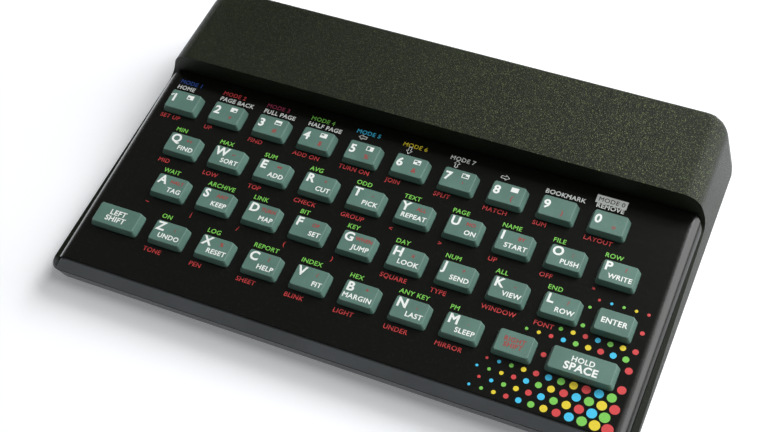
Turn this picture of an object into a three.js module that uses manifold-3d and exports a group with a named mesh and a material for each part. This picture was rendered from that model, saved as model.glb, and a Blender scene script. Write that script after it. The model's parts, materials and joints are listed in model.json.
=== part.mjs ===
// A small home computer of the early 1980s with forty rubber keys.
// Millimetres, +Z up, +X right, +Y to the rear. The origin is on the table
// under the middle of the case.
import * as THREE from "three";
import { mergeVertices } from "three/addons/utils/BufferGeometryUtils.js";
import Module from "manifold-3d";

const wasm = await Module();
wasm.setup();

// Clearances and cutting
const fitGap = 0.3;
const seamGap = 0.3;
const overrun = 4;
const weld = 0.0005;

// Case, from the table up
const caseWidth = 233;
const caseDepth = 144;
const caseHeight = 29.4;
const baseHeight = 1.2;
const partingHeight = 8.5;
const wall = 2.2;
const shoulderRadius = 8;
const topEdgeRadius = 1.5;
const baseEdgeRadius = 1.2;
const rearCornerRadius = 11;
const rearCornerTopRadius = 5;
const frontCornerRadius = 4;
const sideLean = THREE.MathUtils.degToRad(16.6);
const frontLean = THREE.MathUtils.degToRad(32);
const rearLean = THREE.MathUtils.degToRad(1.5);
const lowerLean = THREE.MathUtils.degToRad(15);

// Sloping keyboard deck and the step up to the rear section
const rearSectionDepth = 42.4;
const deckRearHeight = 19.8;
const deckAngle = THREE.MathUtils.degToRad(3.43);
const stepFootRadius = 5;

// Faceplate: pressed steel, flat with both sides rolled down
const plateThickness = 0.6;
const plateSideMargin = 7.9;
const plateDepth = 98;
const rollRadius = 5.4;
const rollAngle = THREE.MathUtils.degToRad(75);
const plateRearCornerRadius = 6;
const plateFrontCornerRadius = 2;

// Keys: sizes of the top faces, the heights above the faceplate and the travel
const keyGap = 7.35;
const keyDepth = 9;
const keyCornerRadius = 1.1;
const capsShiftWidth = 17.8;
const spaceWidth = 23;
const keyHeight = 3;
const keySideTaper = 1.1;
const keyFrontTaper = 0.45;
const keyEdgeRound = 0.6;
const keyFlangeWidth = 0.75;
const keyFlangeThickness = 0.9;
const keyTravel = 1.8;
const contactWidth = 4;
const contactDepth = 0.3;

// Key layout, measured on the top faces
const keyLeftMargin = 2.65;
const keyRightMargin = 6.15;
const rowPitch = 19.94;
const firstRowSetback = 12.05;
const secondRowShift = 10;
const thirdRowShift = 14.85;
const fourthRowShift = 24.6;

// Rubber mat and contact membrane under the faceplate
const matSideMargin = 0.7;
const matRearSetback = 5;
const matDepth = 85;
const matCornerRadius = 2;
const membraneThickness = 0.4;
const tailWidth = 18;
const tailSpacing = 30;
const tailSideMargin = 22.3;
const tailReach = 1;
const trayFloor = 1.8;

// Circuit board and what stands on it
const boardSideGap = 0.9;
const boardDepth = 84;
const boardThickness = 1.6;
const boardHeight = 5;
const boardRearGap = 3.6;
const boardCornerRadius = 3;
const postRadius = 2.5;
const postInset = 7;

// Rear panel
const slotWidth = 75;
const slotSideGap = 7;
const slotBottom = 4.6;
const slotTop = 15;
const tongueWidth = 68;
const tongueLength = 3;
const jackWidth = 12;
const jackSideGap = 4;
const jackSpacing = 17;
const powerWidth = 13;
const powerSideGap = 11.5;
const modulatorWidth = 36;
const modulatorSideGap = 1;
const roofGap = 3.3;

// Screws: two at the front, one in the middle, two at the rear
const bossRadius = 3.1;
const pilotRadius = 1.1;
const screwHoleRadius = 1.7;
const screwHeadRadius = 3.1;
const screwHeadDepth = 1.4;
const bossJointHeight = 6.4;
const pilotDepth = 5.5;
const frontScrewInset = 18.5;
const frontScrewSetback = 8.6;
const rearScrewInset = 10.5;
const rearScrewSetback = 27;
const middleScrewSetback = 77;

// Feet
const footRadius = 6;
const footSeatDepth = 0.7;
const footChamfer = 0.5;
const footInset = 22;
const footSetback = 18;

// Facet counts
const cornerSteps = 4;
const smallCornerSteps = 2;
const shoulderSteps = 5;
const rollSteps = 5;
const roundSides = 16;
const smallRoundSides = 10;

// Values that follow from the sizes above
const halfWidth = caseWidth / 2;
const halfDepth = caseDepth / 2;
const deckRear = halfDepth - rearSectionDepth - fitGap;
const plateUnderside = -plateThickness;
const mouldTop = plateUnderside - fitGap;
const flangeBottom = mouldTop - keyFlangeThickness;
const membraneTop = flangeBottom - contactDepth - keyTravel - fitGap;
const matBottom = membraneTop + fitGap;
const membraneBottom = membraneTop - membraneThickness;
const trayTop = membraneBottom - fitGap;
const trayUnderside = trayTop - trayFloor;
const floorHeight = baseHeight + wall;
const boardTop = boardHeight + boardThickness;
const rearInside = halfDepth - wall;
const boardRear = rearInside - boardRearGap;
const boardFront = boardRear - boardDepth;
const boardMiddle = (boardRear + boardFront) / 2;
const boardWidth = 2 * (halfWidth - rearScrewInset - bossRadius - boardSideGap);
const tallPartHeight = caseHeight - wall - roofGap - boardTop - fitGap;
const modulatorX = -boardWidth / 2 + modulatorSideGap + modulatorWidth / 2;
const earOffset = modulatorX + (modulatorWidth + jackWidth) / 2 + jackSideGap;
const micOffset = earOffset + jackSpacing;
const slotOffset = micOffset + (jackWidth + slotWidth) / 2 + slotSideGap;
const powerOffset = boardWidth / 2 - powerSideGap - powerWidth / 2;
const plateFlatWidth = caseWidth - 2 * plateSideMargin;
const firstKeyLeft = keyLeftMargin - plateFlatWidth / 2;
const lastKeyRight = plateFlatWidth / 2 - keyRightMargin;
const lastRowPitches = 8;
const keyPitch = (lastKeyRight - spaceWidth - fourthRowShift - firstKeyLeft) / lastRowPitches;
const keyWidth = keyPitch - keyGap;
const matWidth = plateFlatWidth + 2 * matSideMargin;
const quarterTurn = Math.PI / 2;

const deckPlacing = new THREE.Matrix4()
  .makeTranslation(0, deckRear, deckRearHeight)
  .multiply(new THREE.Matrix4().makeRotationX(deckAngle));

// Materials
function material(color, roughness, metalness) {
  return new THREE.MeshStandardMaterial({ color, roughness, metalness, flatShading: true });
}
const casePlastic = material("#2c2e2a", 0.6, 0);
const blackEnamel = material("#0c0d0c", 0.2, 0.2);
const keyRubber = material("#4f6d66", 0.75, 0);
const blackRubber = material("#161616", 0.8, 0);
const clearFilm = material("#c9c4a8", 0.4, 0);
const greenBoard = material("#1f5a35", 0.5, 0);
const chipPlastic = material("#1b1b1d", 0.6, 0);
const tinPlate = material("#b9bcbd", 0.35, 0.9);
const aluminium = material("#c4c6c8", 0.4, 0.9);
const socketPlastic = material("#141414", 0.5, 0);

// Solids from three.js geometries, and back
function solidOf(geometry) {
  const loose = geometry.index ? geometry.toNonIndexed() : geometry;
  const bare = new THREE.BufferGeometry();
  bare.setAttribute("position", loose.getAttribute("position").clone());
  const merged = mergeVertices(bare, weld);
  return new wasm.Manifold(
    new wasm.Mesh({
      numProp: 3,
      vertProperties: merged.attributes.position.array,
      triVerts: new Uint32Array(merged.index.array),
    }),
  );
}

function geometryOf(solid) {
  const mesh = solid.getMesh();
  const geometry = new THREE.BufferGeometry();
  geometry.setAttribute("position", new THREE.BufferAttribute(mesh.vertProperties, 3));
  geometry.setIndex(new THREE.BufferAttribute(mesh.triVerts, 1));
  geometry.computeVertexNormals();
  return geometry;
}

function joined(solids) {
  return solids.reduce((sum, next) => sum.add(next));
}

function without(solid, cutters) {
  return cutters.reduce((rest, next) => rest.subtract(next), solid);
}

function piece(name, solid, finish) {
  const mesh = new THREE.Mesh(geometryOf(solid), finish);
  mesh.name = name;
  return mesh;
}

// Basic forms
function box(left, right, front, rear, bottom, top) {
  const geometry = new THREE.BoxGeometry(right - left, rear - front, top - bottom);
  geometry.translate((left + right) / 2, (front + rear) / 2, (bottom + top) / 2);
  return geometry;
}

function upright(radius, x, y, bottom, top, sides = smallRoundSides) {
  const geometry = new THREE.CylinderGeometry(radius, radius, top - bottom, sides);
  geometry.rotateX(quarterTurn);
  geometry.translate(x, y, (bottom + top) / 2);
  return geometry;
}

function rearward(radius, x, z, front, rear, sides = roundSides) {
  const geometry = new THREE.CylinderGeometry(radius, radius, rear - front, sides);
  geometry.translate(x, (front + rear) / 2, z);
  return geometry;
}

// A rounded rectangle, anticlockwise from the front right corner
function outline({ left, right, front, rear, frontRadius, rearRadius }, steps) {
  const corners = [
    [right - frontRadius, front + frontRadius, frontRadius, -quarterTurn],
    [right - rearRadius, rear - rearRadius, rearRadius, 0],
    [left + rearRadius, rear - rearRadius, rearRadius, quarterTurn],
    [left + frontRadius, front + frontRadius, frontRadius, 2 * quarterTurn],
  ];
  return corners.flatMap(([x, y, radius, start]) =>
    Array.from({ length: steps + 1 }, (_, i) => {
      const angle = start + (quarterTurn * i) / steps;
      return new THREE.Vector2(x + radius * Math.cos(angle), y + radius * Math.sin(angle));
    }),
  );
}

function ring(section, height, steps) {
  return outline(section, steps).map((point) => new THREE.Vector3(point.x, point.y, height));
}

// A closed body through rings of equal count, lowest first, with flat ends
function loft(rings) {
  const count = rings[0].length;
  const index = [];
  for (let level = 0; level + 1 < rings.length; level++) {
    for (let i = 0; i < count; i++) {
      const here = level * count + i;
      const next = level * count + ((i + 1) % count);
      index.push(here, next, next + count, here, next + count, here + count);
    }
  }
  const flat = rings[0].map((point) => new THREE.Vector2(point.x, point.y));
  const last = (rings.length - 1) * count;
  for (const [a, b, c] of THREE.ShapeUtils.triangulateShape(flat, [])) {
    index.push(c, b, a);
    index.push(last + a, last + b, last + c);
  }
  const geometry = new THREE.BufferGeometry().setFromPoints(rings.flat());
  geometry.setIndex(index);
  return geometry;
}

// A plan outline as a slab between two heights
function slab(points, bottom, top) {
  const shape = new THREE.Shape(points);
  const geometry = new THREE.ExtrudeGeometry(shape, { depth: top - bottom, bevelEnabled: false });
  geometry.translate(0, 0, bottom);
  return geometry;
}

// A cross-section seen from the front, carried from one depth to another
function run(points, front, rear) {
  const geometry = new THREE.ExtrudeGeometry(new THREE.Shape(points), {
    depth: rear - front,
    bevelEnabled: false,
  });
  geometry.rotateX(quarterTurn);
  geometry.translate(0, rear, 0);
  return geometry;
}

// Outside form of the upper case, or its inside when inset by the wall
function upperRings(inset) {
  const arcHeight = caseHeight - shoulderRadius;
  const tangentHeight = arcHeight + shoulderRadius * Math.sin(sideLean);
  const tangentHalf = halfWidth - (tangentHeight - partingHeight) * Math.tan(sideLean);
  const arcCentre = tangentHalf - shoulderRadius * Math.cos(sideLean);
  const bottom = partingHeight + (inset > 0 ? -overrun : seamGap / 2);
  const sides = [[halfWidth - (bottom - partingHeight) * Math.tan(sideLean), bottom]];
  for (let i = 0; i <= shoulderSteps; i++) {
    const angle = sideLean + ((quarterTurn - sideLean) * i) / shoulderSteps;
    sides.push([
      arcCentre + (shoulderRadius - inset) * Math.cos(angle),
      arcHeight + (shoulderRadius - inset) * Math.sin(angle),
    ]);
  }
  sides[0][0] -= inset / Math.cos(sideLean);
  return sides.map(([half, height]) => {
    const rise = height - partingHeight;
    const share = rise / (caseHeight - partingHeight);
    const section = {
      left: -half,
      right: half,
      front: -halfDepth + rise * Math.tan(frontLean) + inset / Math.cos(frontLean),
      rear: halfDepth - rise * Math.tan(rearLean) - inset - topEdgeLoss(height, inset),
      frontRadius: Math.max(frontCornerRadius - inset, weld * cornerSteps),
      rearRadius: THREE.MathUtils.lerp(rearCornerRadius, rearCornerTopRadius, share) - inset,
    };
    return ring(section, height, cornerSteps);
  });
}

// How far the rounded top edge has drawn in at a height
function topEdgeLoss(height, inset) {
  const over = height + inset - (caseHeight - topEdgeRadius);
  if (over <= 0) return 0;
  return topEdgeRadius - Math.sqrt(Math.max(topEdgeRadius ** 2 - over ** 2, 0));
}

// Outside form of the lower case, or its inside when inset by the wall
function lowerRings(inset) {
  const top = partingHeight + (inset > 0 ? overrun : -seamGap / 2);
  const levels = [[top, 0]];
  if (inset > 0) {
    levels.unshift([floorHeight, 0]);
  } else {
    const steps = smallCornerSteps;
    for (let i = 0; i <= steps; i++) {
      const angle = (quarterTurn * i) / steps;
      levels.unshift([
        baseHeight + baseEdgeRadius * (1 - Math.sin(angle)),
        baseEdgeRadius * (1 - Math.cos(angle)),
      ]);
    }
  }
  return levels.map(([height, drawnIn]) => {
    const inward = (partingHeight - height) * Math.tan(lowerLean) + drawnIn + inset;
    const section = {
      left: -halfWidth + inward,
      right: halfWidth - inward,
      front: -halfDepth + inward,
      rear: halfDepth - inward,
      frontRadius: Math.max(frontCornerRadius - inset, weld * cornerSteps),
      rearRadius: rearCornerRadius - inset,
    };
    return ring(section, height, cornerSteps);
  });
}

// The rolled line of the faceplate, a distance below its outer surface
function rolledLine(depth, angle) {
  const right = Array.from({ length: rollSteps + 1 }, (_, i) => {
    const turn = (angle * i) / rollSteps;
    const radius = rollRadius - depth;
    return new THREE.Vector2(
      plateFlatWidth / 2 + radius * Math.sin(turn),
      radius * Math.cos(turn) - rollRadius,
    );
  });
  const left = right.map((point) => new THREE.Vector2(-point.x, point.y)).reverse();
  return [...left, ...right];
}

const plateHalf = plateFlatWidth / 2 + rollRadius * Math.sin(rollAngle);
const plateEdge = (rollRadius - plateThickness) * Math.cos(rollAngle) - rollRadius;
const ledge = plateEdge - fitGap;

// All above the keyboard deck, up to the step, in the deck's own frame
function deckSpace() {
  const depth = plateThickness + fitGap;
  const radius = rollRadius - depth;
  const angle = Math.acos((rollRadius + ledge) / radius);
  const side = halfWidth + overrun;
  const sky = caseHeight;
  const points = [
    new THREE.Vector2(-side, sky),
    new THREE.Vector2(-side, ledge),
    ...rolledLine(depth, angle),
    new THREE.Vector2(side, ledge),
    new THREE.Vector2(side, sky),
  ];
  const space = solidOf(run(points, -caseDepth, fitGap));
  return without(space, [stepFoot(-1), stepFoot(1)]);
}

// The concave sweep from the step's foot to the rim, beside the faceplate
function stepFoot(side) {
  const inner = plateHalf - plateRearCornerRadius / 2;
  const outer = halfWidth + overrun;
  const rear = fitGap + overrun;
  const front = fitGap - stepFootRadius;
  const top = ledge + stepFootRadius;
  const left = side > 0 ? inner : -outer;
  const right = side > 0 ? outer : -inner;
  const block = solidOf(box(left, right, front, rear, ledge - overrun, top));
  const bar = new THREE.CylinderGeometry(
    stepFootRadius,
    stepFootRadius,
    2 * outer,
    roundSides,
  );
  bar.rotateZ(quarterTurn);
  bar.translate(0, front, top);
  return block.subtract(solidOf(bar));
}

function inCase(geometry) {
  return solidOf(geometry.applyMatrix4(deckPlacing));
}

// Plan of the mat, its pocket or its membrane, grown by a margin
function matSection(margin) {
  return {
    left: -matWidth / 2 - margin,
    right: matWidth / 2 + margin,
    front: -matRearSetback - matDepth - margin,
    rear: -matRearSetback + margin,
    frontRadius: matCornerRadius + margin,
    rearRadius: matCornerRadius + margin,
  };
}

// Places of the two membrane tails
const lastTail = matWidth / 2 - tailSideMargin;
const tailPlaces = [lastTail - tailSpacing, lastTail];
const tailRear = -matRearSetback - fitGap - 2 * membraneThickness;

function tailSlot(x) {
  return box(
    x - tailWidth / 2 - fitGap,
    x + tailWidth / 2 + fitGap,
    tailRear - membraneThickness - fitGap,
    tailRear + fitGap,
    trayUnderside - overrun,
    trayTop + overrun / 2,
  );
}

// Screw places, seen from above
const screwPlaces = [
  [-halfWidth + frontScrewInset, -halfDepth + frontScrewSetback],
  [halfWidth - frontScrewInset, -halfDepth + frontScrewSetback],
  [0, halfDepth - middleScrewSetback],
  [-halfWidth + rearScrewInset, halfDepth - rearScrewSetback],
  [halfWidth - rearScrewInset, halfDepth - rearScrewSetback],
];

// Rear panel holes: [x, height of the axis, radius]
const jackRise = 6.2;
const jackHoleRadius = 3.4;
const powerRise = 7.6;
const powerHoleRadius = 4.6;
const phonoRise = 9.4;
const phonoHoleRadius = 6;
const modulatorDepth = 28;
const modulatorRearGap = 4;

const panelHoles = [
  [modulatorX, boardTop + phonoRise, phonoHoleRadius],
  [earOffset, boardTop + jackRise, jackHoleRadius],
  [micOffset, boardTop + jackRise, jackHoleRadius],
  [powerOffset, boardTop + powerRise, powerHoleRadius],
];

function slotCutter(bottom, top) {
  return solidOf(
    box(
      slotOffset - slotWidth / 2,
      slotOffset + slotWidth / 2,
      rearInside - overrun,
      halfDepth + overrun,
      bottom,
      top,
    ),
  );
}

// Upper case: raised rear section, keyboard deck with its tray, and bosses
function upperCase() {
  const skin = solidOf(loft(upperRings(0)));
  const deckBlock = inCase(
    box(
      -caseWidth,
      caseWidth,
      -caseDepth,
      fitGap + wall,
      trayUnderside,
      caseHeight,
    ),
  );
  const hollow = solidOf(loft(upperRings(wall))).subtract(deckBlock);
  const trayEdge = matSection(fitGap + wall);
  const tray = inCase(slab(outline(trayEdge, smallCornerSteps), trayUnderside, mouldTop));
  const trayInside = solidOf(loft(upperRings(wall)));
  const shell = skin.subtract(hollow).add(tray.intersect(trayInside.add(skin)));
  const bosses = screwPlaces.map(([x, y]) =>
    solidOf(upright(bossRadius, x, y, bossJointHeight, caseHeight)).intersect(trayInside),
  );
  const pocket = inCase(slab(outline(matSection(fitGap), smallCornerSteps), trayTop, overrun));
  const deck = deckSpace();
  const cutters = [
    solidOf(geometryOf(deck).applyMatrix4(deckPlacing)),
    pocket,
    ...tailPlaces.map((x) => inCase(tailSlot(x))),
    ...screwPlaces.map(([x, y]) =>
      solidOf(
        upright(pilotRadius, x, y, bossJointHeight - overrun, bossJointHeight + pilotDepth),
      ),
    ),
    ...panelHoles.map(([x, z, radius]) =>
      solidOf(rearward(radius, x, z, rearInside - overrun, halfDepth + overrun)),
    ),
    slotCutter(partingHeight - overrun, slotTop),
  ];
  return without(joined([shell, ...bosses]), cutters);
}

// Lower case: a shallow tray with board posts, screw bosses and foot seats
const postPlaces = [-1, 0, 1].flatMap((across) =>
  [-1, 1].map((along) => [
    across * (boardWidth / 2 - postInset),
    boardMiddle + along * (boardDepth / 2 - postInset),
  ]),
);

const footPlaces = {
  foot_front_left: [-1, -1],
  foot_front_right: [1, -1],
  foot_rear_left: [-1, 1],
  foot_rear_right: [1, 1],
};

function footPlace([across, along]) {
  return [across * (halfWidth - footInset), along * (halfDepth - footSetback)];
}

function lowerCase() {
  const skin = solidOf(loft(lowerRings(0)));
  const tray = skin.subtract(solidOf(loft(lowerRings(wall))));
  const posts = postPlaces.map(([x, y]) =>
    solidOf(upright(postRadius, x, y, floorHeight - wall / 2, boardHeight - fitGap)),
  );
  const bosses = screwPlaces.map(([x, y]) =>
    solidOf(upright(bossRadius, x, y, floorHeight - wall / 2, bossJointHeight - fitGap)),
  );
  const under = baseHeight - overrun;
  const cutters = [
    ...screwPlaces.map(([x, y]) =>
      solidOf(upright(screwHoleRadius, x, y, under, bossJointHeight + overrun)),
    ),
    ...screwPlaces.map(([x, y]) =>
      solidOf(upright(screwHeadRadius, x, y, under, baseHeight + screwHeadDepth, roundSides)),
    ),
    ...Object.values(footPlaces).map((corner) =>
      solidOf(
        upright(
          footRadius + fitGap,
          ...footPlace(corner),
          under,
          baseHeight + footSeatDepth,
          roundSides,
        ),
      ),
    ),
    slotCutter(slotBottom, partingHeight + overrun),
  ];
  return without(joined([tray, ...posts, ...bosses]), cutters);
}

// Key layout: each row's names and widths, and where its first key begins
function standardKeys(names) {
  return [...names].map((name) => [name, keyWidth]);
}

const keyRows = [
  { start: firstKeyLeft, keys: standardKeys("1234567890") },
  { start: firstKeyLeft + secondRowShift, keys: standardKeys("qwertyuiop") },
  {
    start: firstKeyLeft + thirdRowShift,
    keys: [...standardKeys("asdfghjkl"), ["enter", keyWidth]],
  },
  {
    start: firstKeyLeft + fourthRowShift - keyGap - capsShiftWidth,
    keys: [
      ["caps_shift", capsShiftWidth],
      ...standardKeys("zxcvbnm"),
      ["symbol_shift", keyWidth],
      ["space", spaceWidth],
    ],
  },
];

const keys = keyRows.flatMap(({ start, keys: row }, rowNumber) => {
  let left = start;
  return row.map(([name, width]) => {
    const x = left + width / 2;
    left += width + keyGap;
    return { name: "key_" + name, width, x, y: -firstRowSetback - keyDepth / 2 - rowNumber * rowPitch };
  });
});

// A key's outline grown by margins across and along, about its own centre
function keySection(width, across, along, x = 0, y = 0) {
  const radius = keyCornerRadius + Math.min(across, along);
  return {
    left: x - width / 2 - across,
    right: x + width / 2 + across,
    front: y - keyDepth / 2 - along,
    rear: y + keyDepth / 2 + along,
    frontRadius: radius,
    rearRadius: radius,
  };
}

// A key: flange under the faceplate, tapered cap, and a contact pip below
function keySolid(width) {
  const edge = keyHeight - keyEdgeRound;
  const edgeShare = keyEdgeRound / keyHeight;
  const across = keySideTaper;
  const along = keyFrontTaper;
  const flange = keyFlangeWidth;
  const levels = [
    [flangeBottom, across + flange, along + flange],
    [mouldTop, across + flange, along + flange],
    [mouldTop, across, along],
    [0, across, along],
    [edge, across * edgeShare, along * edgeShare],
    [keyHeight, -keyEdgeRound / 2, -keyEdgeRound / 2],
  ];
  const cap = loft(
    levels.map(([height, grownAcross, grownAlong]) =>
      ring(keySection(width, grownAcross, grownAlong), height, smallCornerSteps),
    ),
  );
  const half = contactWidth / 2;
  const pip = box(-half, half, -half, half, flangeBottom - contactDepth, mouldTop);
  return solidOf(cap).add(solidOf(pip));
}

// Faceplate: the rolled sheet, trimmed to its plan and pierced for the keys
function faceplate() {
  const section = [
    ...rolledLine(0, rollAngle),
    ...rolledLine(plateThickness, rollAngle).reverse(),
  ];
  const sheet = solidOf(run(section, -plateDepth, 0));
  const plan = {
    left: -plateHalf,
    right: plateHalf,
    front: -plateDepth,
    rear: 0,
    frontRadius: plateFrontCornerRadius,
    rearRadius: plateRearCornerRadius,
  };
  const trim = solidOf(slab(outline(plan, cornerSteps), -rollRadius - overrun, overrun));
  const holes = keys.map(({ width, x, y }) => {
    const hole = keySection(width, keySideTaper + fitGap, keyFrontTaper + fitGap, x, y);
    return solidOf(slab(outline(hole, smallCornerSteps), plateUnderside - overrun, overrun));
  });
  return without(sheet.intersect(trim), holes);
}

// Rubber mat: one thick sheet with a cell for each key to travel in
function keyMat() {
  const room = keyFlangeWidth + fitGap;
  const sheet = solidOf(slab(outline(matSection(0), smallCornerSteps), matBottom, mouldTop));
  const cells = keys.map(({ width, x, y }) => {
    const cell = keySection(width, keySideTaper + room, keyFrontTaper + room, x, y);
    const { left, right, front, rear } = cell;
    return solidOf(box(left, right, front, rear, matBottom - overrun, overrun));
  });
  return without(sheet, cells);
}

// Membrane: the contact sheet with two tails that drop through the tray
function membrane() {
  const sheet = solidOf(
    slab(outline(matSection(0), smallCornerSteps), membraneBottom, membraneTop),
  );
  const tails = tailPlaces.map((x) =>
    solidOf(
      box(
        x - tailWidth / 2,
        x + tailWidth / 2,
        tailRear - membraneThickness,
        tailRear,
        trayUnderside - tailReach,
        membraneTop - membraneThickness / 2,
      ),
    ),
  );
  return joined([sheet, ...tails]);
}

// Circuit board. Small parts are soldered to it and belong to its solid.
const chipHeight = 3.6;
const chipDepth = 14;
const smallChipWidth = 19.5;
const smallChipDepth = 7.5;
const smallChipHeight = 3.2;
const chipSpacing = 23;
const memorySideGap = 10;
const memorySetback = 62.5;
const logicChips = 4;
const logicSetback = 77;
const logicSideGap = 2.75;
const processorWidth = 52;
const romWidth = 36;
const romSideGap = 2.5;
const chipGap = 2;
const largeChipSetback = 44;
const capacitorRadius = 4;
const capacitorHeight = 12;
const capacitorSpacing = 11;
const capacitorOffset = 20;
const tallPartSetback = 24;
const coilRadius = 6;
const coilHeight = 9;
const crystalWidth = 11;
const crystalDepth = 4.6;
const crystalHeight = 13;
const tailSocketDepth = 5;
const memoryRoom = boardWidth - 2 * memorySideGap - smallChipWidth;
const memoryChips = Math.floor(memoryRoom / chipSpacing) + 1;
const logicRow = (logicChips - 1) * chipSpacing + smallChipWidth;
const logicOffset = boardWidth / 2 - logicSideGap - logicRow / 2;
const romOffset = -boardWidth / 2 + romSideGap + romWidth / 2;
const displayLogicOffset = romOffset + (romWidth + processorWidth) / 2 + chipGap;
const processorOffset = displayLogicOffset + processorWidth + chipGap;

function onBoard(width, depth, height, x, setback) {
  return box(
    x - width / 2,
    x + width / 2,
    boardRear - setback - depth / 2,
    boardRear - setback + depth / 2,
    boardTop,
    boardTop + height,
  );
}

function tailSocket(x) {
  const tip = new THREE.Vector3(0, tailRear, trayUnderside - tailReach).applyMatrix4(deckPlacing);
  const height = tip.z - 2 * fitGap - boardTop;
  return onBoard(tailWidth + tailSocketDepth, tailSocketDepth, height, x, boardRear - tip.y);
}

function circuitBoard() {
  const plan = {
    left: -boardWidth / 2,
    right: boardWidth / 2,
    front: boardFront,
    rear: boardRear,
    frontRadius: boardCornerRadius,
    rearRadius: boardCornerRadius,
  };
  const sheet = solidOf(slab(outline(plan, smallCornerSteps), boardHeight, boardTop));
  const tongue = box(
    slotOffset - tongueWidth / 2,
    slotOffset + tongueWidth / 2,
    boardRear - overrun,
    boardRear + tongueLength,
    boardHeight,
    boardTop,
  );
  const row = (count, setback, middle) =>
    Array.from({ length: count }, (_, i) =>
      onBoard(
        smallChipWidth,
        smallChipDepth,
        smallChipHeight,
        middle + (i - (count - 1) / 2) * chipSpacing,
        setback,
      ),
    );
  const cans = Array.from({ length: 3 }, (_, i) =>
    upright(
      capacitorRadius,
      capacitorOffset + i * capacitorSpacing,
      boardRear - tallPartSetback,
      boardTop - boardThickness / 2,
      boardTop + capacitorHeight,
    ),
  );
  const coil = upright(
    coilRadius,
    capacitorOffset - capacitorSpacing - coilRadius,
    boardRear - tallPartSetback,
    boardTop - boardThickness / 2,
    boardTop + coilHeight,
  );
  const crystals = [-1, 1].map((side) =>
    onBoard(
      crystalWidth,
      crystalDepth,
      crystalHeight,
      micOffset + crystalWidth + side * (crystalWidth / 2 + crystalDepth / 4),
      tallPartSetback,
    ),
  );
  const mounted = [
    tongue,
    coil,
    ...cans,
    ...crystals,
    ...row(memoryChips, memorySetback, 0),
    ...row(logicChips, logicSetback, logicOffset),
    ...tailPlaces.map(tailSocket),
  ];
  const hole = solidOf(
    upright(
      bossRadius + 2 * fitGap,
      0,
      halfDepth - middleScrewSetback,
      boardHeight - overrun,
      boardTop + overrun,
      roundSides,
    ),
  );
  return joined([sheet, ...mounted.map(solidOf)]).subtract(hole);
}

// A large chip in two rows of pins, a little above the board
function largeChip(width, x, setback) {
  const body = box(
    x - width / 2,
    x + width / 2,
    boardRear - setback - chipDepth / 2,
    boardRear - setback + chipDepth / 2,
    boardTop + fitGap + chipHeight / 4,
    boardTop + fitGap + chipHeight,
  );
  const pinRow = (side) => {
    const y = boardRear - setback + (side * chipDepth) / 2;
    const lift = boardTop + fitGap;
    return box(
      x - width / 2 + fitGap,
      x + width / 2 - fitGap,
      y - fitGap,
      y + fitGap,
      lift,
      lift + chipHeight / 2,
    );
  };
  return joined([body, pinRow(-1), pinRow(1)].map(solidOf));
}

// Modulator: a tin can with the television socket at its rear face
const phonoRadius = 4.1;
const phonoBoreRadius = 1.6;
const phonoCollarRadius = 5.4;
const phonoCollarLength = 1.2;
const phonoRear = rearInside + wall / 2;
const modulatorRear = boardRear - modulatorRearGap;

function modulator() {
  const can = solidOf(
    box(
      modulatorX - modulatorWidth / 2,
      modulatorX + modulatorWidth / 2,
      modulatorRear - modulatorDepth,
      modulatorRear,
      boardTop + fitGap,
      boardTop + fitGap + tallPartHeight,
    ),
  );
  const axis = boardTop + phonoRise;
  const barrel = rearward(phonoRadius, modulatorX, axis, modulatorRear - wall, phonoRear);
  const collarRear = modulatorRear + phonoCollarLength;
  const collar = rearward(
    phonoCollarRadius,
    modulatorX,
    axis,
    modulatorRear - wall,
    collarRear,
  );
  const bore = rearward(
    phonoBoreRadius,
    modulatorX,
    axis,
    modulatorRear,
    phonoRear + overrun,
    smallRoundSides,
  );
  return joined([can, solidOf(barrel), solidOf(collar)]).subtract(solidOf(bore));
}

// A jack socket for the tape recorder's leads
const jackDepth = 14;
const jackHeight = 11;
const jackBushRadius = 2.9;
const jackBoreRadius = 1.8;
const socketFace = rearInside - fitGap - wall / 2;

function jackSocket(x) {
  const axis = boardTop + jackRise;
  const body = box(
    x - jackWidth / 2,
    x + jackWidth / 2,
    socketFace - jackDepth,
    socketFace,
    boardTop + fitGap,
    boardTop + fitGap + jackHeight,
  );
  const bush = rearward(jackBushRadius, x, axis, socketFace - fitGap, rearInside + wall / 2);
  const bore = rearward(
    jackBoreRadius,
    x,
    axis,
    socketFace - jackDepth + wall,
    halfDepth + overrun,
    smallRoundSides,
  );
  return joined([body, bush].map(solidOf)).subtract(solidOf(bore));
}

// The power socket: a barrel bore around a centre pin
const powerDepth = 14;
const powerHeight = 12.6;
const powerBoreRadius = 2.9;
const powerPinRadius = 1;
const powerBoreDepth = 9;
const powerRimRadius = 4.2;

function powerSocket() {
  const axis = boardTop + powerRise;
  const body = box(
    powerOffset - powerWidth / 2,
    powerOffset + powerWidth / 2,
    socketFace - powerDepth,
    socketFace,
    boardTop + fitGap,
    boardTop + fitGap + powerHeight,
  );
  const mouth = rearInside + wall / 2;
  const rim = rearward(powerRimRadius, powerOffset, axis, socketFace - fitGap, mouth);
  const floor = mouth - powerBoreDepth;
  const bore = rearward(powerBoreRadius, powerOffset, axis, floor, mouth + overrun);
  const pin = rearward(
    powerPinRadius,
    powerOffset,
    axis,
    floor - fitGap,
    mouth - 2 * fitGap,
    smallRoundSides,
  );
  return joined([body, rim].map(solidOf)).subtract(solidOf(bore)).add(solidOf(pin));
}

// Heat sink: bent aluminium strip with the regulator on its lower flange
const sinkThickness = 1.6;
const sinkWidth = 34;
const sinkDepth = 20;
const sinkRearSetback = 13;
const sinkSideGap = 2;
const sinkFlange = 22;
const sinkRight = boardWidth / 2 - sinkSideGap;
const sinkFloor = boardTop + fitGap;
const sinkRear = boardRear - sinkRearSetback;

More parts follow.
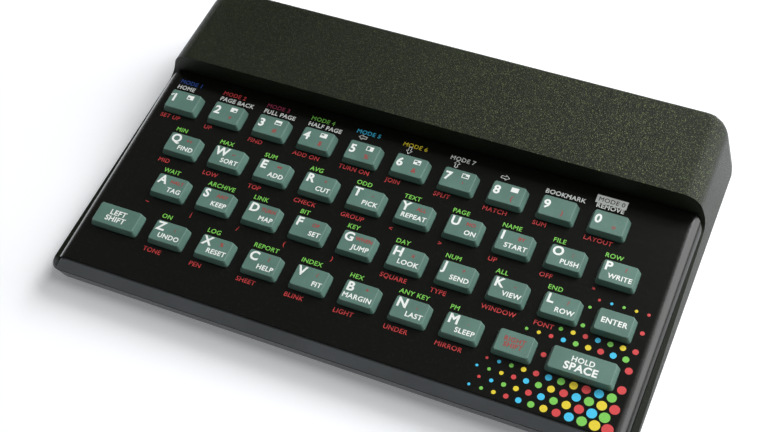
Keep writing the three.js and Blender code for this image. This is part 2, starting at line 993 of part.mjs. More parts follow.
function heatSink() {
  const outer = sinkRight;
  const inner = sinkRight - sinkThickness;
  const top = sinkFloor + tallPartHeight;
  const profile = [
    [outer - sinkFlange, sinkFloor],
    [outer, sinkFloor],
    [outer, top],
    [outer - sinkWidth, top],
    [outer - sinkWidth, top - sinkThickness],
    [inner, top - sinkThickness],
    [inner, sinkFloor + sinkThickness],
    [outer - sinkFlange, sinkFloor + sinkThickness],
  ].map(([x, z]) => new THREE.Vector2(x, z));
  return solidOf(run(profile, sinkRear - sinkDepth, sinkRear));
}

const regulatorWidth = 10.2;
const regulatorDepth = 9.2;
const regulatorThickness = 4.4;
const regulatorTab = 6.4;
const regulatorTabThickness = 1.3;
const legWidth = 0.9;
const legPitch = 2.54;
const legReach = 1.4;

function regulator() {
  const x = sinkRight - sinkFlange / 2;
  const front = sinkRear - sinkDepth + fitGap;
  const seat = sinkFloor + sinkThickness + fitGap;
  const half = regulatorWidth / 2;
  const bodyRear = front + regulatorDepth;
  const body = box(x - half, x + half, front, bodyRear, seat, seat + regulatorThickness);
  const tab = box(
    x - half,
    x + half,
    front + regulatorDepth / 2,
    bodyRear + regulatorTab,
    seat,
    seat + regulatorTabThickness,
  );
  const legTop = seat + regulatorThickness / 2;
  const legFront = front - fitGap - legReach;
  const legs = [-1, 0, 1].flatMap((side) => {
    const left = x + side * legPitch - legWidth / 2;
    const right = left + legWidth;
    return [
      box(left, right, legFront, front + legWidth, legTop, legTop + legWidth / 2),
      box(left, right, legFront, legFront + legWidth / 2, boardTop + fitGap, legTop + legWidth / 2),
    ];
  });
  return joined([body, tab, ...legs].map(solidOf));
}

// Beeper: a small round speaker with a stepped rim
const beeperRadius = 9.8;
const beeperHeight = 8;
const beeperRim = 1;
const beeperRimHeight = 2;
const beeperSideGap = 0.2;
const beeperRearGap = 1;
const beeperX = modulatorX + modulatorWidth / 2 + beeperSideGap + beeperRadius;
const beeperY = socketFace - jackDepth - beeperRearGap - beeperRadius;

function beeper() {
  const base = boardTop + fitGap;
  const profile = [
    [0, 0],
    [beeperRadius, 0],
    [beeperRadius, beeperHeight - beeperRimHeight],
    [beeperRadius - beeperRim, beeperHeight],
    [beeperRadius - 2 * beeperRim, beeperHeight],
    [beeperRadius - 3 * beeperRim, beeperHeight - beeperRimHeight / 2],
    [0, beeperHeight - beeperRimHeight / 2],
  ].map(([radius, height]) => new THREE.Vector2(radius, height));
  const can = new THREE.LatheGeometry(profile, roundSides);
  can.rotateX(quarterTurn);
  can.translate(beeperX, beeperY, base);
  return solidOf(can);
}

// A rubber foot: a disc with a chamfered lower edge in its shallow seat
function foot(corner) {
  const top = baseHeight + footSeatDepth - fitGap;
  const profile = [
    [0, 0],
    [footRadius - footChamfer, 0],
    [footRadius, footChamfer],
    [footRadius, top],
    [0, top],
  ].map(([radius, height]) => new THREE.Vector2(radius, height));
  const disc = new THREE.LatheGeometry(profile, roundSides);
  disc.rotateX(quarterTurn);
  const [x, y] = footPlace(corner);
  disc.translate(x, y, 0);
  return solidOf(disc);
}

// Assembly
const computer = new THREE.Group();
computer.add(piece("lower_case", lowerCase(), casePlastic));
computer.add(piece("upper_case", upperCase(), casePlastic));

const deck = new THREE.Group();
deck.applyMatrix4(deckPlacing);
deck.add(piece("faceplate", faceplate(), blackEnamel));
deck.add(piece("key_mat", keyMat(), keyRubber));
deck.add(piece("keyboard_membrane", membrane(), clearFilm));
for (const { name, width, x, y } of keys) {
  const key = piece(name, keySolid(width), keyRubber);
  key.position.set(x, y, 0);
  deck.add(key);
}
computer.add(deck);

computer.add(piece("circuit_board", circuitBoard(), greenBoard));
const chips = {
  display_logic: [processorWidth, displayLogicOffset],
  processor: [processorWidth, processorOffset],
  rom_chip: [romWidth, romOffset],
};
for (const [name, [width, x]] of Object.entries(chips)) {
  computer.add(piece(name, largeChip(width, x, largeChipSetback), chipPlastic));
}
computer.add(piece("tv_modulator", modulator(), tinPlate));
computer.add(piece("ear_socket", jackSocket(earOffset), socketPlastic));
computer.add(piece("mic_socket", jackSocket(micOffset), socketPlastic));
computer.add(piece("power_socket", powerSocket(), socketPlastic));
computer.add(piece("heat_sink", heatSink(), aluminium));
computer.add(piece("voltage_regulator", regulator(), chipPlastic));
computer.add(piece("beeper", beeper(), blackRubber));
for (const [name, corner] of Object.entries(footPlaces)) {
  computer.add(piece(name, foot(corner), blackRubber));
}

export default computer;
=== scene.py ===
"""Looks of a small home computer of the early 1980s with forty rubber keys.

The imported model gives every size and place. This file dresses it: moulded
case shells, an enamelled faceplate with its print, rubber keys with their
legends, the parts inside and the studio. Lengths are in metres.
"""
import json
import logging
import math
from dataclasses import dataclass, field
from enum import Enum
from functools import cache

import bmesh
import bpy
from mathutils import Matrix, Vector


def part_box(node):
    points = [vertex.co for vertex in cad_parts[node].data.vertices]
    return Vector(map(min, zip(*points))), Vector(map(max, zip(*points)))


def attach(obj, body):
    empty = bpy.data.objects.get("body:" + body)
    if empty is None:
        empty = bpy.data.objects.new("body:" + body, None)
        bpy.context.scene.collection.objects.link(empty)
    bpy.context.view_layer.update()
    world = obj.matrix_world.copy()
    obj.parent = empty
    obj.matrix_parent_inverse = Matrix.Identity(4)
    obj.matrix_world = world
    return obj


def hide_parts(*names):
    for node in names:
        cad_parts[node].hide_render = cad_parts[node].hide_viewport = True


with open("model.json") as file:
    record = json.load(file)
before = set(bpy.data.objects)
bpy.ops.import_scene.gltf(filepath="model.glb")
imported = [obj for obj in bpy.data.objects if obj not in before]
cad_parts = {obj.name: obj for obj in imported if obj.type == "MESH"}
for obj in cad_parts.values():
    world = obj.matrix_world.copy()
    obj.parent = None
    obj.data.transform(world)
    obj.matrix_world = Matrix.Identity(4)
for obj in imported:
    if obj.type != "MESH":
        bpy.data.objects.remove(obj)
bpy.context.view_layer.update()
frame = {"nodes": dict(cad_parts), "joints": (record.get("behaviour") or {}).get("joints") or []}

logging.basicConfig(level=logging.INFO, format="%(message)s")
log = logging.getLogger("home_computer")

CASE_BODY = "case"
PRINT_THICKNESS = 0.00003
PRINT_LIFT = 0.00001
MESH_MERGE = 0.000002
FLAT_ANGLE = 0.4  # degrees between faces that count as one
PRINT_MERGE = 0.0000001
Color = tuple[float, float, float]
Pair = tuple[float, float]
Triple = tuple[float, float, float]


class Align(Enum):
    """Where a line of lettering starts from its place."""

    LEFT = "LEFT"
    CENTRE = "CENTER"
    RIGHT = "RIGHT"


class SocketKind(Enum):
    """What a socket of a shared effect carries."""

    NUMBER = "NodeSocketFloat"
    COLOR = "NodeSocketColor"


class Rounds(Enum):
    """What a bevel rounds."""

    EDGES = "EDGES"
    CORNERS = "VERTICES"


# Node building


@dataclass
class NodeSheet:
    """Adds and joins the nodes of one material, group or world."""

    tree: bpy.types.NodeTree

    def plug(self, socket: bpy.types.NodeSocket, value: object) -> None:
        """Links an input to a socket or sets it to a plain value.

        Args:
            socket: The input.
            value: A socket, a number, a vector, or a colour's three parts.
        """
        if isinstance(value, bpy.types.NodeSocket):
            self.tree.links.new(value, socket)
        elif socket.type == "RGBA":
            socket.default_value = (*value, 1.0)
        else:
            socket.default_value = value

    def feed(self, node: bpy.types.Node, **values: object) -> None:
        """Fills a node's inputs and settings.

        Args:
            node: The node.
            **values: Its inputs by name, with _ for a space, or its own
                settings, in the order in which they apply.
        """
        for key, value in values.items():
            socket = node.inputs.get(key.replace("_", " "))
            if socket is None:
                setattr(node, key, value)
            else:
                self.plug(socket, value)

    def add(self, kind: str, **values: object) -> bpy.types.Node:
        """Adds a node and fills it.

        Args:
            kind: The node's type without its ShaderNode prefix.
            **values: What feed takes.

        Returns:
            The new node.
        """
        prefix = "" if kind.startswith("NodeGroup") else "ShaderNode"
        node = self.tree.nodes.new(prefix + kind)
        self.feed(node, **values)
        return node

    def place(self) -> bpy.types.NodeSocket:
        """The place on the object, on its own axes."""
        return self.add("TexCoord").outputs["Object"]

    def upward(self, low: float, high: float) -> bpy.types.NodeSocket:
        """How far the surface looks up, from 0 at low to 1 at high."""
        normal = self.add("TexCoord").outputs["Normal"]
        return self.ramp(self.add("SeparateXYZ", Vector=normal).outputs["Z"], low, high)

    def ramp(
        self, value: bpy.types.NodeSocket, low: float, high: float
    ) -> bpy.types.NodeSocket:
        """Stretches a value so that low becomes 0 and high becomes 1."""
        node = self.add("MapRange", From_Min=low, From_Max=high, Value=value)
        return node.outputs["Result"]

    def calc(self, operation: str, *values: object) -> bpy.types.NodeSocket:
        """Works out a Math node.

        Args:
            operation: The Math node's operation.
            *values: Its inputs in order, as numbers or sockets.

        Returns:
            The result's socket.
        """
        node = self.add("Math", operation=operation)
        for socket, value in zip(node.inputs, values):
            self.plug(socket, value)
        return node.outputs[0]

    def blend(self, share: object, first: object, second: object) -> bpy.types.NodeSocket:
        """Mixes two colours.

        Args:
            share: How much of the second colour shows.
            first: A colour or a socket.
            second: A colour or a socket.

        Returns:
            The mixed colour's socket.
        """
        node = self.add("Mix", data_type="RGBA")
        inputs = {socket.identifier: socket for socket in node.inputs}
        self.plug(inputs["Factor_Float"], share)
        self.plug(inputs["A_Color"], first)
        self.plug(inputs["B_Color"], second)
        return next(s for s in node.outputs if s.identifier == "Result_Color")

    def relief(self, height: bpy.types.NodeSocket, depth: float) -> bpy.types.NodeSocket:
        """Turns a height into a surface normal.

        Args:
            height: The height's socket, from 0 to about 1.
            depth: How far a height of 1 stands out.

        Returns:
            The normal's socket.
        """
        bump = self.add("Bump", Height=height, Distance=depth, Strength=1.0)
        return bump.outputs["Normal"]


class SharedEffects:
    """The surface effects that more than one material uses, each built once."""

    FINE_TIMES = 2.3
    FINE_ROUGHNESS = 0.7
    PAINTED_GLINT_CELLS = (0.45, 1.0)
    PAINTED_GLINT_KEENNESS = 3.0
    PAINTED_GLINT_RIM = (0.62, 0.25)
    PAINTED_GLINT_UPWARD = (0.35, 0.8)
    DRIFT_REACH = (0.25, 0.75)
    DRIFT_MIDDLE = 0.5
    DUST_COLOR: Color = (0.42, 0.42, 0.4)
    DUST_UPWARD = (0.6, 1.0)
    FLECK_SCALE = 900.0
    FLECK_REACH = (0.55, 0.8)

    @staticmethod
    def start(
        name: str, inputs: tuple[str, ...], outputs: tuple[str, ...]
    ) -> tuple[NodeSheet, bpy.types.NodeOutputs, bpy.types.Node]:
        """Opens a new group with its sockets, of which Color carries a colour.

        Args:
            name: The group's name.
            inputs: The names of what goes in.
            outputs: The names of what comes out.

        Returns:
            The sheet, the sockets of what goes in, and the output node.
        """
        tree = bpy.data.node_groups.new(name, "ShaderNodeTree")
        for way, titles in (("INPUT", inputs), ("OUTPUT", outputs)):
            for title in titles:
                kind = SocketKind.COLOR if title == "Color" else SocketKind.NUMBER
                tree.interface.new_socket(title, in_out=way, socket_type=kind.value)
        sheet = NodeSheet(tree)
        return sheet, sheet.add("NodeGroupInput").outputs, sheet.add("NodeGroupOutput")

    @classmethod
    @cache
    def mould_grain(cls) -> bpy.types.NodeTree:
        """The fine pebbled surface that a spark-eroded mould leaves, with glints of light painted
        on its cells.

        Returns:
            A group with inputs Scale and Coarseness and outputs Height and Glint, the share of
            painted highlight.
        """
        sheet, given, result = cls.start(
            "mould_grain", ("Scale", "Coarseness"), ("Height", "Glint")
        )
        place = sheet.place()
        pits = sheet.add("TexVoronoi", Vector=place, Scale=given["Scale"], feature="F1").outputs
        fine_scale = sheet.calc("MULTIPLY", given["Scale"], cls.FINE_TIMES)
        fine = sheet.add(
            "TexNoise", Vector=place, Scale=fine_scale, Detail=3.0, Roughness=cls.FINE_ROUGHNESS
        ).outputs["Fac"]
        height = sheet.calc("MULTIPLY_ADD", fine, given["Coarseness"], pits["Distance"])
        # Painted highlight: bright cells on faces that look up, painted where light would catch
        # the grain.
        cell = sheet.add("SeparateColor", Color=pits["Color"]).outputs["Red"]
        keen = sheet.calc("POWER", sheet.ramp(cell, *cls.PAINTED_GLINT_CELLS), cls.PAINTED_GLINT_KEENNESS)
        spot = sheet.calc("MULTIPLY", keen, sheet.ramp(pits["Distance"], *cls.PAINTED_GLINT_RIM))
        painted_glint = sheet.calc("MULTIPLY", spot, sheet.upward(*cls.PAINTED_GLINT_UPWARD))
        sheet.feed(result, Height=height, Glint=painted_glint)
        return sheet.tree

    @classmethod
    @cache
    def uneven_tone(cls) -> bpy.types.NodeTree:
        """Slow changes of tone over a moulded or painted surface.

        Returns:
            A group with inputs Color, Spread and Scale, and outputs Color and
            Drift, which runs around a half.
        """
        sheet, given, result = cls.start(
            "uneven_tone", ("Color", "Spread", "Scale"), ("Color", "Drift")
        )
        slow = sheet.add("TexNoise", Vector=sheet.place(), Scale=given["Scale"], Detail=3.0)
        drift = sheet.ramp(slow.outputs["Fac"], *cls.DRIFT_REACH)
        centred = sheet.calc("SUBTRACT", drift, cls.DRIFT_MIDDLE)
        value = sheet.calc("MULTIPLY_ADD", centred, given["Spread"], 1.0)
        toned = sheet.add("HueSaturation", Color=given["Color"], Value=value)
        sheet.feed(result, Color=toned.outputs["Color"], Drift=drift)
        return sheet.tree

    @classmethod
    @cache
    def settled_dust(cls) -> bpy.types.NodeTree:
        """A thin film of pale dust on faces that look up.

        Returns:
            A group with inputs Color and Amount, and the output Color.
        """
        sheet, given, result = cls.start("settled_dust", ("Color", "Amount"), ("Color",))
        flecks = sheet.add("TexNoise", Vector=sheet.place(), Scale=cls.FLECK_SCALE, Detail=4.0)
        speck = sheet.ramp(flecks.outputs["Fac"], *cls.FLECK_REACH)
        lying = sheet.calc("MULTIPLY", sheet.upward(*cls.DUST_UPWARD), speck)
        share = sheet.calc("MULTIPLY", lying, given["Amount"])
        sheet.feed(result, Color=sheet.blend(share, given["Color"], cls.DUST_COLOR))
        return sheet.tree


# Finishes


@dataclass(frozen=True)
class Finish:
    """A surface finish that becomes one material and is made only once."""

    name: str
    color: Color
    roughness: float = 0.5

    @cache
    def material(self) -> bpy.types.Material:
        """Gives the finish's material, which it builds the first time."""
        made = bpy.data.materials.new(self.name)
        made.use_nodes = True
        made.node_tree.nodes.clear()
        sheet = NodeSheet(made.node_tree)
        shader = sheet.add("BsdfPrincipled")
        sheet.add("OutputMaterial", Surface=shader.outputs["BSDF"])
        self.lay_out(sheet, shader)
        return made

    def lay_out(self, sheet: NodeSheet, shader: bpy.types.Node) -> None:
        """Lays out the nodes that feed the shader; each finish has its own."""
        raise NotImplementedError

    def grained(self, sheet: NodeSheet, scale: float, coarseness: float) -> bpy.types.NodeOutputs:
        """Places the mould's grain.

        Args:
            sheet: The material's sheet.
            scale: Pebbles in a metre.
            coarseness: How strong the finer grain on the pebbles is.

        Returns:
            The outputs Height and Glint, the share of painted highlight.
        """
        group = SharedEffects.mould_grain()
        return sheet.add("Group", node_tree=group, Scale=scale, Coarseness=coarseness).outputs

    def toned(self, sheet: NodeSheet, spread: float, scale: float) -> bpy.types.NodeOutputs:
        """Lets the finish's colour drift slowly over the surface.

        Args:
            sheet: The material's sheet.
            spread: How far its value drifts.
            scale: Changes in a metre.

        Returns:
            The outputs Color and Drift.
        """
        group = SharedEffects.uneven_tone()
        return sheet.add(
            "Group", node_tree=group, Color=self.color, Spread=spread, Scale=scale
        ).outputs

    def dusted(
        self, sheet: NodeSheet, color: bpy.types.NodeSocket, amount: float
    ) -> bpy.types.NodeSocket:
        """Lays a little dust on a colour.

        Args:
            sheet: The material's sheet.
            color: The colour's socket.
            amount: How much of the dust shows.

        Returns:
            The dusty colour's socket.
        """
        group = SharedEffects.settled_dust()
        return sheet.add("Group", node_tree=group, Color=color, Amount=amount).outputs["Color"]

    def swung(
        self, sheet: NodeSheet, value: bpy.types.NodeSocket, swing: float
    ) -> bpy.types.NodeSocket:
        """Lets the roughness swing about the finish's own with a value from 0 to 1."""
        return sheet.calc("MULTIPLY_ADD", value, swing, self.roughness - swing / 2)


@dataclass(frozen=True)
class MouldedPlastic(Finish):
    """Case plastic, pebbled by its mould, with a grey reflection painted along its front wall.

    Its glints are highlights painted into the base colour; they show only high up on the case and
    grow sparse to the left, away from the light.
    """

    # Painted highlight: the colour of the glints painted on the top.
    painted_glint_color: Color = (0.27, 0.34, 0.13)
    roughness: float = 0.44
    swing: float = 0.1
    specular: float = 0.16
    tone: Pair = (0.35, 24.0)
    grain: Pair = (3300.0, 0.5)
    grain_depth: float = 0.0001
    least_painted_glint: float = 0.22
    painted_glint_gloss: float = 0.2
    painted_glint_reach: Pair = (-0.06, 0.07)
    painted_glint_height: Pair = (0.016, 0.024)
    dust: float = 0.03
    # Painted reflection: the light grey painted on the front wall.
    front_reflection_color: Color = (0.112, 0.121, 0.131)
    front_reflection_reach: Pair = (-0.0672, -0.0692)
    least_front_reflection: float = 0.6

    def lay_out(self, sheet: NodeSheet, shader: bpy.types.Node) -> None:
        """Grain, painted glints, slow tone, the painted reflection along the front and dust feed
        the shader.
        """
        grain = self.grained(sheet, *self.grain)
        tone = self.toned(sheet, *self.tone)
        axes = sheet.add("SeparateXYZ", Vector=sheet.place()).outputs
        # Painted highlight: the glints fade to the left and below the top, where less light
        # catches the grain.
        to_right = sheet.ramp(axes["X"], *self.painted_glint_reach)
        gain = sheet.calc("MULTIPLY_ADD", to_right, 1.0 - self.least_painted_glint, self.least_painted_glint)
        high_up = sheet.ramp(axes["Z"], *self.painted_glint_height)
        share = sheet.calc("MULTIPLY", grain["Glint"], sheet.calc("MULTIPLY", gain, high_up))
        # The glints are painted into the base colour as bright specks.
        glint_painted = sheet.blend(share, tone["Color"], self.painted_glint_color)
        # Painted reflection: a grey band painted along the front wall, varied by the slow drift.
        front = sheet.ramp(axes["Y"], *self.front_reflection_reach)
        reflection_drift = sheet.calc("MULTIPLY_ADD", tone["Drift"], 1.0 - self.least_front_reflection, self.least_front_reflection)
        reflected = sheet.blend(sheet.calc("MULTIPLY", front, reflection_drift), glint_painted, self.front_reflection_color)
        base = self.swung(sheet, tone["Drift"], self.swing)
        sheet.feed(
            shader,
            Base_Color=self.dusted(sheet, reflected, self.dust),
            Roughness=sheet.calc("MULTIPLY_ADD", share, -self.painted_glint_gloss, base),
            Specular_IOR_Level=self.specular,
            Normal=sheet.relief(grain["Height"], self.grain_depth),
        )


@dataclass(frozen=True)
class Enamel(Finish):
    """Baked enamel on sheet steel, almost flat, with a faint orange peel."""

    roughness: float = 0.235
    swing: float = 0.03
    specular: float = 0.42
    tone: Pair = (0.4, 18.0)
    dust: float = 0.012
    peel_scale: float = 420.0
    peel_depth: float = 0.000012
    wipe_turn: float = 24.0
    wipe_stretch: Triple = (1.0, 14.0, 1.0)
    wipe_scale: float = 60.0
    wipe_reach: Pair = (0.5, 0.8)

    def lay_out(self, sheet: NodeSheet, shader: bpy.types.Node) -> None:
        """Orange peel, slow tone, dust and fine wipe marks feed the shader."""
        place = sheet.place()
        peel = sheet.add("TexNoise", Vector=place, Scale=self.peel_scale, Detail=2.0)
        turn = (0.0, 0.0, math.radians(self.wipe_turn))
        turned = sheet.add("Mapping", Vector=place, Rotation=turn, Scale=self.wipe_stretch)
        wipes = sheet.add(
            "TexNoise", Vector=turned.outputs["Vector"], Scale=self.wipe_scale, Detail=5.0
        )
        marks = sheet.ramp(wipes.outputs["Fac"], *self.wipe_reach)
        color = self.toned(sheet, *self.tone)["Color"]
        sheet.feed(
            shader,
            Base_Color=self.dusted(sheet, color, self.dust),
            Roughness=self.swung(sheet, marks, self.swing),
            Specular_IOR_Level=self.specular,
            Normal=sheet.relief(peel.outputs["Fac"], self.peel_depth),
        )


@dataclass(frozen=True)
class PlainMoulding(Finish):
    """Small mouldings such as sockets, chips and feet, with a light skin."""

    swing: float = 0.16
    tone: Pair = (0.3, 70.0)
    skin: Pair = (1800.0, 0.6)
    skin_depth: float = 0.00002

    def lay_out(self, sheet: NodeSheet, shader: bpy.types.Node) -> None:
        """Skin texture and slow tone feed the shader."""
        tone = self.toned(sheet, *self.tone)
        height = self.grained(sheet, *self.skin)["Height"]
        sheet.feed(
            shader,
            Base_Color=tone["Color"],
            Roughness=self.swung(sheet, tone["Drift"], self.swing),
            Normal=sheet.relief(height, self.skin_depth),
        )


@dataclass(frozen=True)
class KeyRubber(PlainMoulding):
    """Silicone rubber, silky and a little dusty."""

    swing: float = 0.14
    tone: Pair = (0.22, 90.0)
    skin: Pair = (2600.0, 0.8)
    skin_depth: float = 0.000012
    dust: float = 0.08
    sheen: float = 0.12
    sheen_roughness: float = 0.4

    def lay_out(self, sheet: NodeSheet, shader: bpy.types.Node) -> None:
        """Dust and a sheen join the skin and the slow tone."""
        super().lay_out(sheet, shader)
        clean = shader.inputs["Base Color"].links[0].from_socket
        sheet.feed(
            shader,
            Base_Color=self.dusted(sheet, clean, self.dust),
            Sheen_Weight=self.sheen,
            Sheen_Roughness=self.sheen_roughness,
        )


@dataclass(frozen=True)
class Ink(Finish):
    """Screen-printed ink, a little uneven where it lies thin."""

    under: Color = (0.06, 0.09, 0.08)
    thin: float = 0.25
    thin_reach: Pair = (0.52, 0.75)
    roughness: float = 0.4
    thin_dullness: float = 0.4
    patch_scale: float = 1400.0
    patch_depth: float = 0.000006

    def lay_out(self, sheet: NodeSheet, shader: bpy.types.Node) -> None:
        """Thin places and the ink's own grain feed the shader."""
        patches = sheet.add(
            "TexNoise", Vector=sheet.place(), Scale=self.patch_scale, Detail=4.0
        ).outputs["Fac"]
        share = sheet.calc("MULTIPLY", sheet.ramp(patches, *self.thin_reach), self.thin)
        sheet.feed(
            shader,
            Base_Color=sheet.blend(share, self.color, self.under),
            Roughness=sheet.calc("MULTIPLY_ADD", share, self.thin_dullness, self.roughness),
            Normal=sheet.relief(patches, self.patch_depth),
        )


@dataclass(frozen=True)
class Metal(Finish):
    """Bare or plated metal with fine mill lines and a few dull patches."""

    roughness: float = 0.375
    swing: float = 0.25
    tone: Pair = (0.25, 120.0)
    lines: Triple = (1.0, 22.0, 1.0)
    line_scale: float = 240.0
    line_depth: float = 0.00001

    def lay_out(self, sheet: NodeSheet, shader: bpy.types.Node) -> None:
        """Mill lines and dull patches feed the shader."""
        stretched = sheet.add("Mapping", Vector=sheet.place(), Scale=self.lines)
        mill = sheet.add(
            "TexNoise", Vector=stretched.outputs["Vector"], Scale=self.line_scale, Detail=4.0
        ).outputs["Fac"]
        sheet.feed(
            shader,
            Base_Color=self.toned(sheet, *self.tone)["Color"],
            Metallic=1.0,
            Roughness=self.swung(sheet, mill, self.swing),
            Normal=sheet.relief(mill, self.line_depth),
        )


@dataclass(frozen=True)
class BoardLaminate(Finish):
    """Green circuit laminate with tracks under its lacquer."""

    track_color: Color = (0.05, 0.2, 0.08)
    roughness: float = 0.35
    swing: float = 0.1
    tone: Pair = (0.3, 60.0)
    track_pitch: float = 0.0026
    track_share: float = 0.16
    track_runs: float = 6.0
    track_height: float = 0.00003

    def lay_out(self, sheet: NodeSheet, shader: bpy.types.Node) -> None:
        """Tracks, solder-mask tone and their slight height feed the shader."""
        tracks = sheet.add(
            "TexBrick",
            Vector=sheet.place(),
            Scale=1.0,
            Mortar_Size=self.track_pitch * self.track_share,
            Brick_Width=self.track_pitch * self.track_runs,
            Row_Height=self.track_pitch,
        ).outputs["Fac"]
        tone = self.toned(sheet, *self.tone)
        sheet.feed(
            shader,
            Base_Color=sheet.blend(tracks, tone["Color"], self.track_color),
            Roughness=self.swung(sheet, tone["Drift"], self.swing),
            Normal=sheet.relief(tracks, self.track_height),
        )


@dataclass(frozen=True)
class FloorPaper(Finish):
    """Plain white studio paper, which the camera and mirrors see evenly white."""

    glow: Color = (0.95, 0.97, 1.0)
    lift: float = 0.16
    gleam: float = 0.9
    roughness: float = 0.9
    specular: float = 0.1

    def lay_out(self, sheet: NodeSheet, shader: bpy.types.Node) -> None:
        """A glow by Light Path joins the paper's own colour."""
        rays = sheet.add("LightPath").outputs
        shown = sheet.calc("MULTIPLY", rays["Is Camera Ray"], self.lift)
        glowing = sheet.calc("MULTIPLY_ADD", rays["Is Glossy Ray"], self.gleam, shown)
        sheet.feed(
            shader,
            Base_Color=self.color,
            Roughness=self.roughness,
            Specular_IOR_Level=self.specular,
            Emission_Color=self.glow,
            Emission_Strength=glowing,
        )


# The case plastic carries painted glints on its top and a painted reflection along its front
# wall.
CASE_BLACK = MouldedPlastic("case_black", (0.0098, 0.0126, 0.0068))
# The base's front wall has a faint painted reflection.
BASE_BLACK = MouldedPlastic(
    "base_black", (0.012, 0.0125, 0.013), roughness=0.55, front_reflection_color=(0.02, 0.022, 0.024)
)
PLATE_BLACK = Enamel("plate_black", (0.003, 0.0031, 0.0022))
KEY_GREEN = KeyRubber("key_green", (0.088, 0.18, 0.148))
INK_WHITE = Ink("ink_white", (0.84, 0.87, 0.85), thin=0.12)
INK_FAINT_RED = Ink("ink_faint_red", (0.36, 0.05, 0.045), thin=0.6)
INK_RED = Ink("ink_red", (0.66, 0.055, 0.06), under=(0.05, 0.01, 0.01))
INK_GREEN = Ink("ink_green", (0.19, 0.58, 0.085), under=(0.02, 0.06, 0.02))
INK_BLUE = Ink("ink_blue", (0.03, 0.1, 0.45), under=(0.01, 0.02, 0.06))
INK_MAGENTA = Ink("ink_magenta", (0.3, 0.03, 0.08), under=(0.04, 0.01, 0.02))
INK_CYAN = Ink("ink_cyan", (0.05, 0.55, 0.85), under=(0.01, 0.08, 0.1))
INK_YELLOW = Ink("ink_yellow", (0.78, 0.62, 0.03), under=(0.12, 0.1, 0.01))
INK_BLACK = Ink("ink_black", (0.01, 0.01, 0.01), under=(0.02, 0.02, 0.02))
MAT_RUBBER = PlainMoulding("mat_rubber", (0.012, 0.02, 0.018), roughness=0.7)
FILM = PlainMoulding("membrane_film", (0.3, 0.31, 0.29), roughness=0.25)
BOARD_GREEN = BoardLaminate("board_green", (0.02, 0.12, 0.05))
CHIP_BLACK = PlainMoulding("chip_black", (0.02, 0.02, 0.022), roughness=0.55)
SOCKET_BLACK = PlainMoulding("socket_black", (0.015, 0.015, 0.016), roughness=0.4)
FOOT_RUBBER = PlainMoulding("foot_rubber", (0.018, 0.018, 0.018), roughness=0.8)
TIN = Metal("tin_plate", (0.55, 0.55, 0.53))
ALUMINIUM = Metal("sheet_aluminium", (0.7, 0.71, 0.72))
GOLD = Metal("finger_gold", (0.8, 0.55, 0.2), roughness=0.275, lines=(30.0, 1.0, 1.0))
SCREW_STEEL = Metal("screw_steel", (0.16, 0.16, 0.165), roughness=0.425)
FLOOR_WHITE = FloorPaper("floor_paper", (0.92, 0.93, 0.96))


# Mesh helpers


def flat(x: float, y: float) -> Vector:
    """A place or a size on the deck, with no height."""
    return Vector((x, y, 0.0))


def linked(name: str, data: bpy.types.ID) -> bpy.types.Object:
    """Makes an object of a mesh, a lamp or a camera and puts it in the scene."""
    made = bpy.data.objects.new(name, data)
    bpy.context.scene.collection.objects.link(made)
    return made


@dataclass(frozen=True)
class Deck:
    """The sloping plane of the faceplate's top surface.

    Its own axes run right (u), to the rear (v) and out of the plate (w), and
    its origin is at the middle of the plate's rear edge.
    """

    plate_thickness: float = 0.0006

    @property
    def angle(self) -> float:
        """The slope, from the direction in which the keys move."""
        axis = Vector(next(j for j in frame["joints"] if j["name"] == "key_q_press")["axis"])
        return math.atan2(axis.y, -axis.z)

    @property
    def matrix(self) -> Matrix:
        """From the deck's own axes to the model's."""
        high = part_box("faceplate")[1]
        rear = high.y - self.plate_thickness * math.sin(self.angle)
        turn = Matrix.Rotation(self.angle, 4, "X")
        return Matrix.Translation((0.0, rear, high.z)) @ turn

    def extent(self, node: str) -> tuple[Vector, Vector]:
        """Lowest and highest corner of a CAD node on the deck's own axes.

        Args:
            node: The CAD node's name.

        Returns:
            The two corners.
        """
        back = self.matrix.inverted()
        points = [back @ v.co for v in frame["nodes"][node].data.vertices]
        low = Vector(min(p[i] for p in points) for i in range(3))
        high = Vector(max(p[i] for p in points) for i in range(3))
        return low, high


def piece_from(
    bm: bmesh.types.BMesh,
    name: str,
    finish: Finish,
    body: str = CASE_BODY,
    stands_for: tuple[str, ...] = (),
    smooth_angle: float = 35.0,
    weighted: bool = True,
) -> bpy.types.Object:
    """Makes a finished piece of a bmesh and lets it ride on a body.

    Args:
        bm: The shape in its place; it is freed.
        name: The piece's name.
        finish: Its finish, in its first material slot.
        body: The CAD body that it moves with.
        stands_for: CAD nodes that it replaces.
        smooth_angle: Edges sharper than this many degrees stay sharp.
        weighted: Whether large faces keep flat shading beside rounded edges.

    Returns:
        The new object.
    """
    bm.normal_update()
    for face in bm.faces:
        face.smooth = True
    for edge in bm.edges:
        edge.smooth = edge.calc_face_angle(0.0) < math.radians(smooth_angle)
    mesh = bpy.data.meshes.new(name)
    bm.to_mesh(mesh)
    bm.free()
    mesh.materials.append(finish.material())
    made = linked(name, mesh)
    if weighted:
        modifier = made.modifiers.new("even_shading", "WEIGHTED_NORMAL")
        modifier.keep_sharp = True
    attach(made, body)
    if stands_for:
        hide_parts(*stands_for)
    return made


